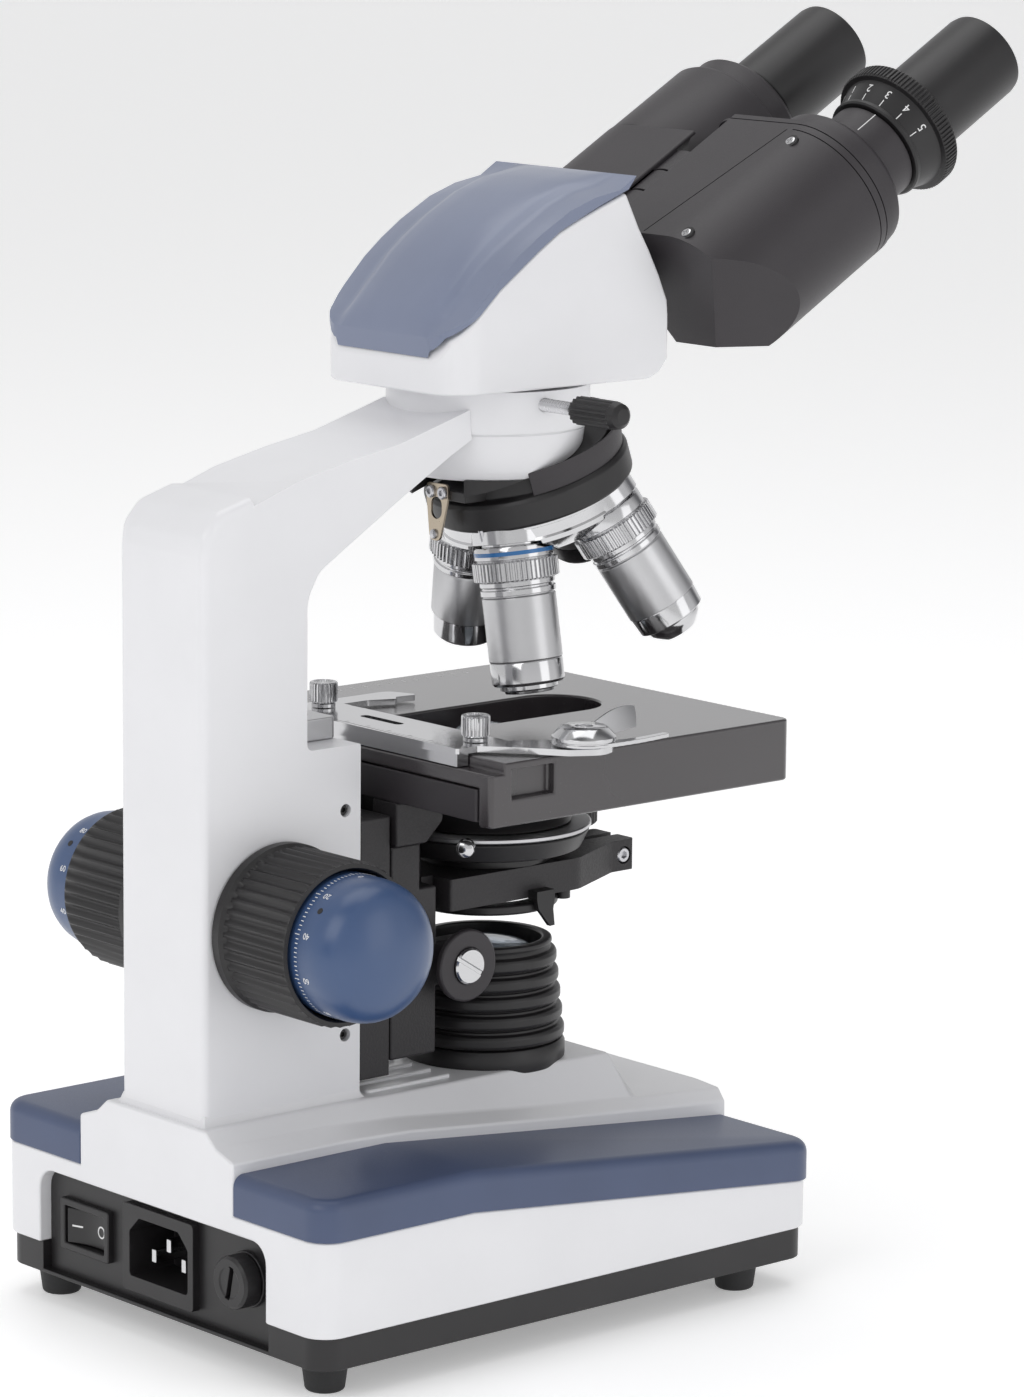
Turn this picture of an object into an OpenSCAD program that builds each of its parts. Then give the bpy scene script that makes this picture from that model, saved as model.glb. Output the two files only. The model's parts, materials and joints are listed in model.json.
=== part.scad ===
// Compound binocular microscope on a wedge base, with a cranked arm, a
// four-place turret, a built-in mechanical stage, a condenser and an LED lamp.
// Millimetres, +Z up. The table is z = 0. The operator sits on the -Y side,
// the arm and the power panel are on the +Y side.

/* [Display] */
// Sub-part to draw

/* [Base] */
// Width of the base across X
base_w = 150.8; // [140:0.2:160]
// Length of the base along Y
base_l = 189.7; // [184:0.1:196]
// Corner radius of the base in plan
base_r = 8.5; // [6:0.5:14]
// Height of the feet
foot_h = 9; // [5:0.5:14]
// Height of the level top of the base under the lamp
deck_z = 68; // [55:0.5:80]

/* [Arm] */
// Width of the arm across X
arm_w = 38.8; // [30:0.2:50]

/* [Stage] */
// Width of the stage across X
stage_w = 125; // [100:1:160]
// Height of the top of the stage above the table
stage_z = 170.6; // [150:0.1:190]

/* [Focus] */
// Height of the focus shaft above the table
focus_z = 122.9; // [110:0.1:135]
// Radius of the coarse focus knob
coarse_r = 23.9; // [18:0.1:28]
// Radius of the fine focus knob
fine_r = 20.6; // [14:0.1:22]

/* [Turret] */
// Tilt of the turret axis from vertical
turret_tilt = 19.3; // [12:0.1:25]
// Angle of the turret past its click position
turret_turn = 26.4; // [0:0.1:90]
// Radius of the turret and its carrier
turret_r = 31; // [25:0.5:36]

/* [Head] */
// Inclination of the eyepiece tubes above the horizontal
tube_tilt = 30; // [25:1:45]
// Half the distance between the eyepiece axes
half_ipd = 33; // [27:0.5:37]
// Outer radius of a prism housing
prism_r = 24; // [20:0.5:28]
// Outer radius of an eyepiece
eye_r = 14; // [12:0.1:17]

/* [Hidden] */
$fn = 64;
// The optical axis stands at x = 0, y = ax.
ax = 25.4;
// Height where the axes of all four objectives meet the turret axis.
zp = 285.3;
// Height where the frame of the inclined tubes crosses the optical axis.
hz = 300;
// Offsets of the tube hinge and of the eyepiece axes in that frame.
hb = -20;
tb = -32.8;
// Distance of the focus shaft behind the optical axis.
fs_y = 94;
aw = arm_w / 2;
bw = base_w / 2;
by1 = 123.3;
by0 = by1 - base_l;
// The pads stand proud of the white band by this much.
proud = 0.8;
// Axis of the two stage knobs.
kx = 33;
ky = -60;
// Axis of the condenser knob.
cn_y = 29;
cn_z = 103;
// Pivot of the slide clip.
hx = -64.5;
hy = 18.5;
// Height of the head lock screw.
lock_z = 265.9;
// Back face of the detent block, and its two screws.
det_y = 18.2;
det_z = 238.4;
det_x = [-2.6, 3.2];
white = [0.9, 0.9, 0.91];
blue = [0.42, 0.47, 0.6];
black = [0.12, 0.11, 0.12];
grey = [0.33, 0.32, 0.35];
chrome = [0.82, 0.83, 0.85];
satin = [0.72, 0.72, 0.74];
brass = [0.78, 0.62, 0.35];

// ---- shared shapes ----

module slab(x0, x1, y0, y1, z0, z1) {
  translate([x0, y0 + ax, z0])
    cube([x1 - x0, y1 - y0, z1 - z0]);
}

// vertical cylinder or cone on the point (x, y) counted from the optical axis
module post(x, y, z0, z1, r1, r2) {
  translate([x, y + ax, z0])
    cylinder(h = z1 - z0, r1 = r1, r2 = r2);
}

// rod along X
module rod_x(x0, x1, y, z, r) {
  translate([x0, y + ax, z])
    rotate([0, 90, 0])
      cylinder(h = x1 - x0, r = r);
}

// rod along Y
module rod_y(x, y0, y1, z, r) {
  translate([x, y1 + ax, z])
    rotate([90, 0, 0])
      cylinder(h = y1 - y0, r = r);
}

// side outline in Y and Z, extruded across X
module side_slab(x0, x1, pts) {
  translate([x0, ax, 0])
    rotate([90, 0, 90])
      linear_extrude(height = x1 - x0)
        polygon(pts);
}

// rounded rectangle in plan
module plan(x0, x1, y0, y1, r) {
  union() {
    translate([x0 + r, y0 + ax])
      square([x1 - x0 - 2 * r, y1 - y0]);
    translate([x0, y0 + ax + r])
      square([x1 - x0, y1 - y0 - 2 * r]);
    for (px = [x0 + r, x1 - r])
      for (py = [y0 + r, y1 - r])
        translate([px, py + ax])
          circle(r = r);
  }
}

module plan_slab(x0, x1, y0, y1, r, z0, z1) {
  translate([0, 0, z0])
    linear_extrude(height = z1 - z0)
      plan(x0, x1, y0, y1, r);
}

// frame of the turret: local -Z runs down the turret axis
module turret_frame() {
  translate([0, ax, zp])
    rotate([-turret_tilt, 0, 0])
      children();
}

// frame of one objective: local -Z runs down the objective axis
module objective_frame(k) {
  turret_frame()
    rotate([0, 0, turret_turn + 90 * k])
      rotate([turret_tilt, 0, 0])
        children();
}

// turned piece in the objective frame, from t0 to t1 below the apex
module turned(t0, t1, ra, rb) {
  translate([0, 0, -t1])
    cylinder(h = t1 - t0, r1 = rb, r2 = ra);
}

// frame of the eyepiece tubes: local Z runs up the tubes
module tube_frame() {
  translate([0, ax, hz])
    rotate([90 - tube_tilt, 0, 0])
      children();
}

module tube_rod(x, b, a0, a1, r1, r2) {
  translate([x, b, a0])
    cylinder(h = a1 - a0, r1 = r1, r2 = r2);
}

// ---- base ----

module wedge(x0, x1, z_low, drop) {
  side_slab(x0, x1, [[by1 + 1, z_low], [by1 + 1, 46.3 + drop],
    [68, 46.3 + drop], [-67.4, 32.4 + drop], [-67.4, z_low]]);
}

// outline in X and Z, extruded along Y from y0 to y1
module long_slab(y0, y1, pts) {
  translate([0, y1 + ax, 0])
    rotate([90, 0, 0])
      linear_extrude(height = y1 - y0)
        polygon(pts);
}

module base_shell() {
  color(white)
    difference() {
      union() {
        intersection() {
          plan_slab(-bw, bw, by0, by1, base_r, 18.4, 80);
          wedge(-bw - 1, bw + 1, 18.4, 0);
        }
        intersection() {
          plan_slab(-bw, bw, by0, by1, base_r, 18.4, 80);
          side_slab(-36, 36, [[by1, 30], [by1, 61.5], [70, 61.5],
            [-20, 55.5], [by0, 51.5], [by0, 30]]);
        }
        intersection() {
          long_slab(-40, by1, [[-29, 50], [-29, 58.5], [-24, deck_z],
            [24, deck_z], [29, 58.5], [29, 50]]);
          side_slab(-30, 30, [[by1, 50], [by1, deck_z + 1],
            [-30.5, deck_z + 1], [-34, 54], [-34, 50]]);
        }
      }
      intersection() {
        plan_slab(-bw + 3.5, bw - 3.5, by0 + 3.5, by1 - 6, 9, 10, 62);
        wedge(-bw, bw, 10, -3.5);
      }
      slab(-25, 25, -24, 112, 20, 62);
      slab(-50.5, 56, 112, by1 + 2, 10, 41);
      post(0, 0, 58, deck_z + 1, 7, 7);
    }
}

// one of the two side pads on the base
module pad(x0, x1) {
  intersection() {
    plan_slab(-bw - proud, bw + proud, by0 - proud, by1, base_r, 20, 80);
    difference() {
      wedge(x0, x1, 20, 12);
      wedge(x0 - 1, x1 + 1, 19, 0.02);
    }
  }
}

module base_pad_left() {
  color(blue)
    pad(36.02, bw + 1);
}

module base_pad_right() {
  color(blue)
    pad(-bw - 1, -36.02);
}

module base_tray() {
  color(black)
    difference() {
      plan_slab(-bw + 1, bw - 1, by0 + 1, by1 - 1, base_r - 1, foot_h, 18.38);
      plan_slab(-bw + 4, bw - 4, by0 + 4, by1 - 9, 9, foot_h + 2.5, 19);
      slab(-50.5, 56, by1 - 6.8, by1 + 1, foot_h - 1, 20);
      slab(-50.5, 56, by1 - 10, by1 - 6, foot_h + 2.5, 20);
      for (px = [-48, 48])
        for (py = [-45, 95])
          post(px, py, foot_h - 1, 20, 1.7, 1.7);
    }
}

module rubber_feet() {
  color(black)
    for (p = [[-62, 111], [62, 111], [-62, -46.5], [62, -46.5]])
      post(p[0], p[1], 0, foot_h - 0.02, 5.6, 7.4);
}

module tray_screws() {
  color(satin)
    for (px = [-48, 48])
      for (py = [-45, 95]) {
        post(px, py, foot_h - 0.9, foot_h - 0.02, 3, 3);
        post(px, py, foot_h - 0.02, 20, 1.5, 1.5);
      }
}

// ---- rear power panel ----

module rear_panel() {
  color(black)
    difference() {
      slab(-50.2, 55.7, by1 - 6.5, by1 - 4, foot_h + 0.2, 40.8);
      slab(26.2, 47.6, by1 - 8, by1, 19, 32.5);
      slab(-14.2, 16.3, by1 - 8, by1, 14.5, 37.5);
      rod_y(-38.3, by1 - 8, by1, 28, 7);
    }
}

module power_inlet() {
  color(grey)
    difference() {
      union() {
        slab(-15.5, 17.6, by1 - 3.98, by1 - 1.6, 13, 38.9);
        slab(-14, 16.1, by1 - 24, by1 - 3.98, 14.7, 37.3);
      }
      side_slab(-13, 14.4, [[by1 - 18, 17.6], [by1, 17.6],
        [by1, 35.3], [by1 - 18, 35.3]]);
    }
}

module inlet_pins() {
  color(brass)
    for (p = [[-6.3, 24], [7.7, 24], [0.7, 28.5]])
      slab(p[0] - 1, p[0] + 1, by1 - 17.98, by1 - 5, p[1] - 2, p[1] + 2);
}

module switch_bezel() {
  color(black)
    difference() {
      union() {
        slab(25.2, 48.6, by1 - 3.98, by1 - 2, 18, 33.5);
        slab(26.4, 47.4, by1 - 16, by1 - 3.98, 19.2, 32.3);
      }
      slab(27.4, 46.4, by1 - 14.5, by1, 20.2, 31.3);
      post(36.9, by1 - 8, 17, 35, 1.06, 1.06);
    }
}

module rocker() {
  color(black)
    translate([36.9, by1 - 8 + ax, 0])
      rotate([0, 0, 7]) {
        translate([-8.6, -1.5, 20.5])
          linear_extrude(height = 10.5)
            polygon([[0, 0], [17.2, 0], [17.2, 6.6], [8.6, 5.2], [0, 6.6]]);
        translate([0, 0, 19.5])
          cylinder(h = 12.5, r = 1);
      }
}

module fuse_holder() {
  color(black)
    difference() {
      union() {
        rod_y(-38.3, by1 - 3.98, by1 - 2.6, 28, 8.2);
        rod_y(-38.3, by1 - 34, by1 - 3.98, 28, 6.8);
      }
      difference() {
        rod_y(-38.3, by1 - 32.5, by1 + 1, 28, 5.3);
        rod_y(-38.3, by1 - 33, by1 - 29.02, 28, 2);
      }
    }
}

module fuse_cap() {
  color(grey)
    difference() {
      union() {
        rod_y(-38.3, by1 - 2.4, by1 + 3.6, 28, 7.7);
        rod_y(-38.3, by1 - 14, by1 - 2.4, 28, 5.24);
      }
      rod_y(-38.3, by1 - 15, by1 - 6, 28, 2.66);
      slab(-39.3, -37.3, by1 + 2.2, by1 + 5, 23.5, 32.5);
    }
}

module fuse_tube() {
  color(chrome)
    rod_y(-38.3, by1 - 29, by1 - 6.3, 28, 2.6);
}

module power_board() {
  color([0.1, 0.35, 0.2])
    difference() {
      union() {
        slab(-34, 38, 10, 84, 18, 19.6);
        slab(-26, -2, 30, 52, 19.58, 37);
        post(16, 62, 19.58, 36, 7, 7);
        post(16, 40, 19.58, 33, 5, 5);
        for (px = [-30, 34])
          for (py = [14, 80])
            post(px, py, foot_h + 2.52, 18.02, 3, 3);
      }
      for (px = [-30, 34])
        for (py = [14, 80])
          post(px, py, foot_h + 4, 22, 1.2, 1.2);
    }
}

// ---- arm ----

module arm() {
  color(white)
    difference() {
      side_slab(-aw, aw, [[120.7, deck_z + 0.02], [120.7, 231], [120, 236.5],
        [118.5, 239.5], [115.5, 242.3], [111, 244.4], [104, 246.3],
        [24, 264.9], [24, 256.2], [31, 251.9], [42, 245.6], [49.6, 241],
        [61, 233.8], [68, 230], [75, 225.7], [79.2, 222.9], [81.6, 220],
        [83, 216.5], [83.3, 212], [83.3, 172], [63.7, 172],
        [63.7, deck_z + 0.02]]);
      slab(-13.5, 13.5, 60, 114, 75, 160);
      rod_x(-aw - 1, aw + 1, fs_y, focus_z, 7.05);
      for (pz = [87.1, 153.1])
        rod_x(-aw - 1, -13, 69.2, pz, 1.6);
      for (pz = [87.1, 153.1])
        rod_x(13, aw + 1, 69.2, pz, 1.6);
      post(0, 0, 240, 270, 30.02, 30.02);
    }
}

module arm_plugs() {
  color(black)
    for (pz = [87.1, 153.1]) {
      rod_x(-aw + 1.2, -13.6, 69.2, pz, 1.55);
      rod_x(13.6, aw - 1.2, 69.2, pz, 1.55);
    }
}

// round casting at the end of the arm: collar above, sloped seat below
module nose_casting() {
  color(white)
    difference() {
      union() {
        post(0, 0, 256.5, 269.8, 30, 30);
        intersection() {
          post(0, 0, 236, 256.52, 28, 28);
          turret_frame()
            turned(10, 37.5, 40, 40);
        }
      }
      post(0, 0, 262, 271, 22.06, 22.06);
      post(0, 0, 225, 271, 11, 11);
      rod_x(-40, -20, 4, lock_z, 2.06);
      slab(-13, 7, 11.5, 32, 230, 241.6);
    }
}

// ---- focus ----

module focus_rail() {
  color(black)
    difference() {
      union() {
        slab(-19.2, 19.2, 52.2, 63.68, 72.3, 149.5);
        slab(-12.8, 12.8, 63.66, 76, 77, 148);
        slab(-9, 9, 46, 52.3, 74, 144);
      }
      slab(-6, 6, 40, 80, 79, 146);
    }
}

// toothed shaft across the arm that carries the coarse knobs
module pinion_shaft() {
  color(satin)
    difference() {
      union() {
        rod_x(-45, 45, fs_y, focus_z, 7);
        rod_x(-5, 5, fs_y, focus_z, 9);
      }
      rod_x(-46, 46, fs_y, focus_z, 4.06);
    }
}

module coarse_knobs() {
  color(grey)
    for (s = [-1, 1])
      translate([0, fs_y + ax, focus_z])
        rotate([0, s * 90, 0])
          difference() {
            union() {
              translate([0, 0, aw + 0.4])
                cylinder(h = 4, r = coarse_r + 0.5);
              translate([0, 0, aw + 4.3])
                cylinder(h = 51.3 - aw - 4.3, r = coarse_r);
            }
            translate([0, 0, aw - 1])
              cylinder(h = 40, r = 7.02);
            translate([0, 0, 45.2])
              cylinder(h = 12, r = fine_r + 0.9);
            for (k = [0 : 47])
              rotate([0, 0, k * 7.5])
                translate([coarse_r, 0, aw + 6])
                  cylinder(h = 40, r = 0.5, $fn = 4);
          }
}

module fine_shaft() {
  color(chrome)
    rod_x(-58, 58, fs_y, focus_z, 4);
}

module fine_knobs() {
  color(blue)
    for (s = [-1, 1])
      translate([0, fs_y + ax, focus_z])
        rotate([0, s * 90, 0])
          difference() {
            union() {
              rotate_extrude()
                polygon([[0, 45.6], [fine_r, 45.6], [fine_r, 60],
                  [fine_r - 0.8, 64], [fine_r - 2.6, 67.2],
                  [fine_r - 5.8, 69.9], [fine_r - 10.6, 71.9],
                  [4.5, 72.8], [0, 72.9]]);
            }
            translate([0, 0, 40])
              cylinder(h = 18.2, r = 4.02);
          }
}

// ---- sliding carriage, stage and condenser ----

module carriage() {
  color(black)
    difference() {
      union() {
        difference() {
          slab(-19.2, 19.2, 34.7, 51.9, 76.5, 140);
          slab(-9.3, 9.3, 45.7, 53, 76, 141);
          slab(-5.8, 5.8, 33, 42, 76, 141);
          slab(-19.3, -12, 34, 41, 126.5, 141);
          slab(12, 19.3, 34, 41, 126.5, 141);
        }
        slab(-5.5, 5.5, 44, 66, 90, 140);
        slab(-5.5, 5.5, 65.9, 84.7, 100, 140);
        slab(-19.2, -13, 22.5, 34.8, 96.5, 109.5);
      }
      rod_x(-20, -12, cn_y, cn_z, 3.06);
    }
}

module stage_bracket() {
  color(black)
    difference() {
      union() {
        slab(-21, 21, 33.8, 51.6, 140.02, 153.3);
        slab(-5.4, 5.4, 33.8, 41.8, 129, 140.1);
      }
      slab(-9.3, 9.3, 45.7, 52, 139, 152.3);
    }
}

module stage_base() {
  color(black)
    difference() {
      slab(-56.3, 56.3, -44, 51.8, 153.32, 162.8);
      translate([0, 0, 150])
        linear_extrude(height = 14)
          plan(-20, 20, -22, 22, 8);
    }
}

module stage_top() {
  color([0.2, 0.19, 0.2])
    difference() {
      union() {
        slab(-stage_w / 2, stage_w / 2, -65.4, 51.6, 163.2, stage_z);
        slab(-stage_w / 2, -57, -65.4, 51.6, 152.2, 163.3);
        slab(57, stage_w / 2, -65.4, 51.6, 152.2, 163.3);
        slab(-57.1, 57.1, -65.4, -63.4, 152.2, 163.3);
        post(kx, ky, 158, 163.3, 4.8, 4.8);
      }
      translate([0, 0, 150])
        linear_extrude(height = 30)
          plan(-14, 14, -41, 36, 13.9);
      slab(-stage_w / 2 - 1, -stage_w / 2 + 3, 27.7, 43.5, 162.2, 168.5);
      slab(-stage_w / 2 - 1, stage_w / 2 + 1, 46.5, 53, 167.5, 172);
      post(kx, ky, 150, 167, 3.06, 3.06);
    }
}

// upper knob of the coaxial stage drive, which moves the stage along Y
module drive_y_knob() {
  color(grey)
    difference() {
      union() {
        post(kx, ky, 124.5, 141, 11, 11);
        post(kx, ky, 140.9, 166.6, 3, 3);
      }
      post(kx, ky, 120, 170, 1.56, 1.56);
      for (k = [0 : 23])
        translate([kx, ky + ax, 120])
          rotate([0, 0, k * 15])
            translate([11, 0, 0])
              cylinder(h = 19, r = 0.6, $fn = 4);
    }
}

// lower knob, which moves the slide holder along X
module drive_x_knob() {
  color(grey)
    difference() {
      post(kx, ky, 110, 124.1, 6.8, 6.8);
      for (k = [0 : 17])
        translate([kx, ky + ax, 108])
          rotate([0, 0, k * 20])
            translate([6.8, 0, 0])
              cylinder(h = 14, r = 0.5, $fn = 4);
    }
}

module slide_holder() {
  color(chrome)
    difference() {
      union() {
        slab(-47, 36, 46.9, 51, 167.8, 173);
        slab(-47, 36, 31, 51, 171.2, 173);
        translate([0, ax, 171.2])
          linear_extrude(height = 1.8)
            polygon([[36, 32], [36, 8], [26, 4], [27, 12], [24.5, 14],
              [28, 22], [28, 32]]);
        translate([0, ax, 171.2])
          linear_extrude(height = 1.8)
            polygon([[-46.5, 44], [-58, 34], [-68, 27], [-73, 18.5],
              [-70, 11], [-62, 10], [-56, 16], [-46.5, 31.5]]);
        post(hx, hy, 172.9, 178.2, 2.5, 2.5);
      }
      post(28, 39, 170, 175, 1.6, 1.6);
      post(-41, 39, 170, 175, 1.6, 1.6);
      slab(-8, 10, 37.5, 40.5, 170, 175);
    }
}

module holder_screws() {
  color(chrome)
    for (px = [28, -41])
      difference() {
        union() {
          post(px, 39, 171.2, 174, 1.55, 1.55);
          post(px, 39, 173.42, 177.2, 3.2, 3.2);
          post(px, 39, 177.18, 184.5, 4.4, 4.4);
        }
        for (k = [0 : 15])
          translate([px, 39 + ax, 177])
            rotate([0, 0, k * 22.5])
              translate([4.4, 0, 0])
                cylinder(h = 9, r = 0.45, $fn = 4);
      }
}

// sprung finger that presses the slide against the holder
module clip_finger() {
  color(chrome)
    difference() {
      union() {
        post(hx, hy, 173.3, 176, 9.3, 9.3);
        post(hx, hy, 175.98, 178.6, 9.3, 6.8);
        translate([hx, hy + ax, 173.3])
          linear_extrude(height = 1.2)
            polygon([[-7, 4], [-9.3, -4], [-9.2, -14], [-7.5, -26],
              [-5.5, -25.5], [-6.8, -14], [-4, -4]]);
        translate([hx + 1, hy + ax - 25, 174])
          cube([1.5, 18, 7]);
      }
      post(hx, hy, 170, 185, 2.56, 2.56);
    }
}

module condenser_mount() {
  color(black)
    difference() {
      union() {
        translate([0, ax, 118])
          linear_extrude(height = 9.5)
            polygon([[-20, 30], [-20, -20], [-9, -43], [-9, -52],
              [9, -52], [9, -43], [20, -20], [20, 30]]);
        slab(-11.6, 11.6, 29.9, 34.3, 118, 127.5);
        slab(-4, 4, 34.2, 39, 92, 127.5);
        slab(-24, -19.9, -7, 0, 118, 120.5);
        slab(-24, -22.5, -7, 0, 109.5, 118.1);
      }
      post(0, 0, 117, 130, 16.54, 16.54);
      slab(-1.5, 1.5, -53, -10, 117, 130);
      rod_x(-10, 10, -48, 122.7, 1.7);
    }
}

module condenser_shaft() {
  color(satin)
    union() {
      rod_x(-25.98, 6, cn_y, cn_z, 3);
      rod_x(-3.8, 3.8, cn_y, cn_z, 5);
    }
}

// side knob that raises and lowers the condenser
module condenser_knob() {
  color(grey)
    difference() {
      union() {
        rod_x(-27, -24.6, cn_y, cn_z, 10.7);
        rod_x(-28.3, -26.9, cn_y, cn_z, 5.4);
      }
      rod_x(-26, -20, cn_y, cn_z, 3.02);
      translate([-29, cn_y + ax, cn_z])
        rotate([30, 0, 0])
          cube([1.6, 1.2, 14], center = true);
    }
}

module condenser_body() {
  color(black)
    difference() {
      union() {
        post(0, 0, 117, 137.1, 16.5, 16.5);
        post(0, 0, 127.52, 131.2, 20, 20);
        post(0, 0, 131.1, 137.1, 28, 31.2);
        post(0, 0, 137, 139.2, 24, 24);
        post(0, 0, 139.1, 152, 26, 15);
        post(0, 0, 151.9, 162.6, 13, 13);
      }
      post(0, 0, 110, 142, 12, 12);
      post(0, 0, 141.9, 170, 9.03, 9.03);
    }
}

module condenser_lens() {
  color([0.75, 0.85, 0.9])
    union() {
      post(0, 0, 142.1, 165.5, 9, 9);
      post(0, 0, 165.45, 167.7, 9, 5);
    }
}

// silver iris ring with its lever and ball
module iris_lever() {
  color(chrome)
    union() {
      difference() {
        post(0, 0, 137.3, 138.9, 31.7, 31.7);
        post(0, 0, 136, 140, 24.06, 24.06);
      }
      translate([0, ax, 138.1])
        rotate([0, 0, 131.5])
          rotate([0, 90, 0])
            translate([0, 0, 30])
              cylinder(h = 9, r = 0.75);
      translate([-26.4, 29.8 + ax, 138.1])
        rotate_extrude()
          intersection() {
            circle(r = 2.8);
            translate([0, -3])
              square([3, 6]);
          }
    }
}

// ring below the condenser that swings out on a pin and takes a filter
module filter_holder() {
  color(black)
    difference() {
      union() {
        post(0, 0, 113.8, 116.7, 22, 22);
        post(-15.5, -17.5, 113.8, 117.7, 2.5, 2.5);
      }
      post(0, 0, 115, 118, 16.05, 16.05);
      post(0, 0, 112, 118, 14.5, 14.5);
    }
}

// ---- lamp ----

module lamp_housing() {
  color(black)
    difference() {
      union() {
        post(0, 0, deck_z + 0.02, 73, 24.5, 24.3);
        for (k = [0 : 4])
          post(0, 0, 72.9 + k * 5.6, 78.6 + k * 5.6, 24.2 - k * 0.65, 23.4 - k * 0.65);
        post(0, 0, 100.8, 103.5, 20.3, 20.3);
      }
      post(0, 0, 60, 98, 16, 16);
      post(0, 0, 97.9, 105, 17.2, 17.2);
      for (k = [0 : 4])
        translate([0, ax, 78 + k * 5.6])
          rotate_extrude()
            translate([23.2 - k * 0.65, -0.7])
              square([3, 1.4]);
    }
}

module lamp_lens() {
  color([0.85, 0.9, 0.95])
    translate([0, ax, 98.02])
      rotate_extrude()
        intersection() {
          translate([0, -24])
            circle(r = 29);
          square([17.15, 6]);
        }
}

module lamp_board() {
  color([0.1, 0.35, 0.2])
    union() {
      post(0, 0, 70, 71.6, 15.9, 15.9);
      post(0, 0, 71.5, 76, 4, 3);
    }
}

// ---- turret ----

module turret_carrier() {
  color(black)
    difference() {
      union() {
        turret_frame() {
          turned(37.52, 43.5, 27, 28);
          turned(43.4, 52.2, turret_r, turret_r);
        }
        slab(-11.5, 5.2, 7, det_y, 236.2, 241.2);
      }
      turret_frame() {
        turned(30, 60, 4.03, 4.03);
        turned(50.2, 60, 29.5, 29.5);
        translate([0, 15.4, -60])
          cylinder(h = 30, r = 10);
      }
      for (px = det_x)
        rod_y(px, 13, 20, det_z, 1.25);
    }
}

module turret_cover() {
  color(grey)
    turret_frame()
      difference() {
        turned(37.5, 43.3, 29.4, 30.2);
        turned(30, 50, 28.3, 28.3);
        translate([-40, -4, -60])
          cube([80, 60, 40]);
      }
}

module detent_spring() {
  color(brass)
    difference() {
      long_slab(det_y + 0.02, det_y + 0.9, [[5.2, 241], [-4.6, 241],
        [-4.4, 236], [-0.9, 224], [3.6, 224], [5.2, 236]]);
      for (px = det_x)
        rod_y(px, 17, 20, det_z, 1.25);
      rod_y(0.6, 17, 20, 233.9, 2.4);
    }
}
module detent_screws() {
  color(chrome)
    for (px = det_x) {
      rod_y(px, 14, det_y + 1, det_z, 1.23);
      rod_y(px, det_y + 0.92, det_y + 1.9, det_z, 2.1);
    }
}

module turret() {
  color(chrome)
    difference() {
      turret_frame()
        rotate_extrude()
          polygon([[0, -64], [22, -64], [29.2, -57.5], [29.2, -50.5],
            [4, -50.5], [4, -38], [0, -38]]);
      for (k = [0 : 3])
        objective_frame(k)
          rotate([0, 0, 90])
          rotate_extrude()
            polygon([[0, -80], [13.2, -80], [13.2, -63], [10.05, -63],
              [10.05, -49], [0, -49]]);
    }
}

// bore of an objective, kept open for the light
module lens_bore(t1) {
  turned(50, t1, 4, 4);
}

module objective_4() {
  color(satin)
    objective_frame(2)
      difference() {
        union() {
          turned(58.5, 63.6, 10, 10);
          turned(63.5, 68, 11.6, 11.6);
          turned(67.9, 74, 12.2, 12.2);
          turned(73.9, 87, 11.4, 11.4);
        }
        lens_bore(84);
        turned(83, 90, 8, 9);
      }
}

module objective_10() {
  color(satin)
    objective_frame(3)
      difference() {
        union() {
          turned(58.5, 63.6, 10, 10);
          turned(63.5, 68, 11.6, 11.6);
          turned(67.9, 74, 12.2, 12.2);
          turned(73.9, 93, 10.9, 10.6);
          turned(92.9, 102.5, 9.6, 9.4);
        }
        lens_bore(100);
        turned(99, 105, 5, 6);
      }
}

module objective_40() {
  color(satin)
    objective_frame(0)
      difference() {
        union() {
          turned(58.5, 63.6, 10, 10);
          turned(63.5, 68, 11.6, 11.6);
          turned(67.9, 74, 12.2, 12.2);
          turned(73.9, 78.5, 11.3, 11.3);
          turned(78.4, 98.2, 11, 10.8);
          turned(98.1, 105, 10.7, 10.6);
          turned(104.9, 107.8, 7.5, 6.4);
        }
        lens_bore(104);
        turned(103, 109, 2, 2);
      }
}

module objective_100() {
  color(satin)
    objective_frame(1)
      difference() {
        union() {
          turned(58.5, 63.6, 10, 10);
          turned(63.5, 68, 11.6, 11.6);
          turned(67.9, 74, 12.2, 12.2);
          turned(73.9, 78.5, 11.3, 11.3);
          turned(78.4, 97, 11, 10.8);
          turned(96.9, 103, 10.6, 10.4);
          turned(102.9, 107.9, 8.4, 5.4);
        }
        lens_bore(104);
        turned(103, 109, 2, 2);
      }
}

// ---- head ----

module head_shell() {
  color(white)
    difference() {
      union() {
        intersection() {
          plan_slab(-31, 31, -43, 40, 9, 270.6, 330);
          side_slab(-32, 32, [[41, 270.6], [41, 282.8], [38.5, 287],
            [30, 293.3], [15, 305.7], [0, 315.8], [-15, 322.1],
            [-25.5, 326], [-43.2, 294], [-43.2, 278.5], [-39, 270.6]]);
        }
        post(0, 0, 262.3, 270.7, 22, 22);
      }
      side_slab(-27.5, 27.5, [[36, 273.5], [36, 281], [28, 289.5],
        [13, 302], [-1, 311.5], [-15, 318], [-22, 320], [-38, 291],
        [-38, 280], [-35, 273.5]]);
      post(0, 0, 255, 280, 18, 18);
      tube_frame()
        tube_rod(0, hb, 10, 50, 6.02, 6.02);
      tube_frame()
        tube_rod(0, hb, 35.38, 60, 16.02, 16.02);
      translate([0, ax, lock_z])
        rotate_extrude()
          polygon([[20.5, 0], [23, -2], [23, 2]]);
    }
}

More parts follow.
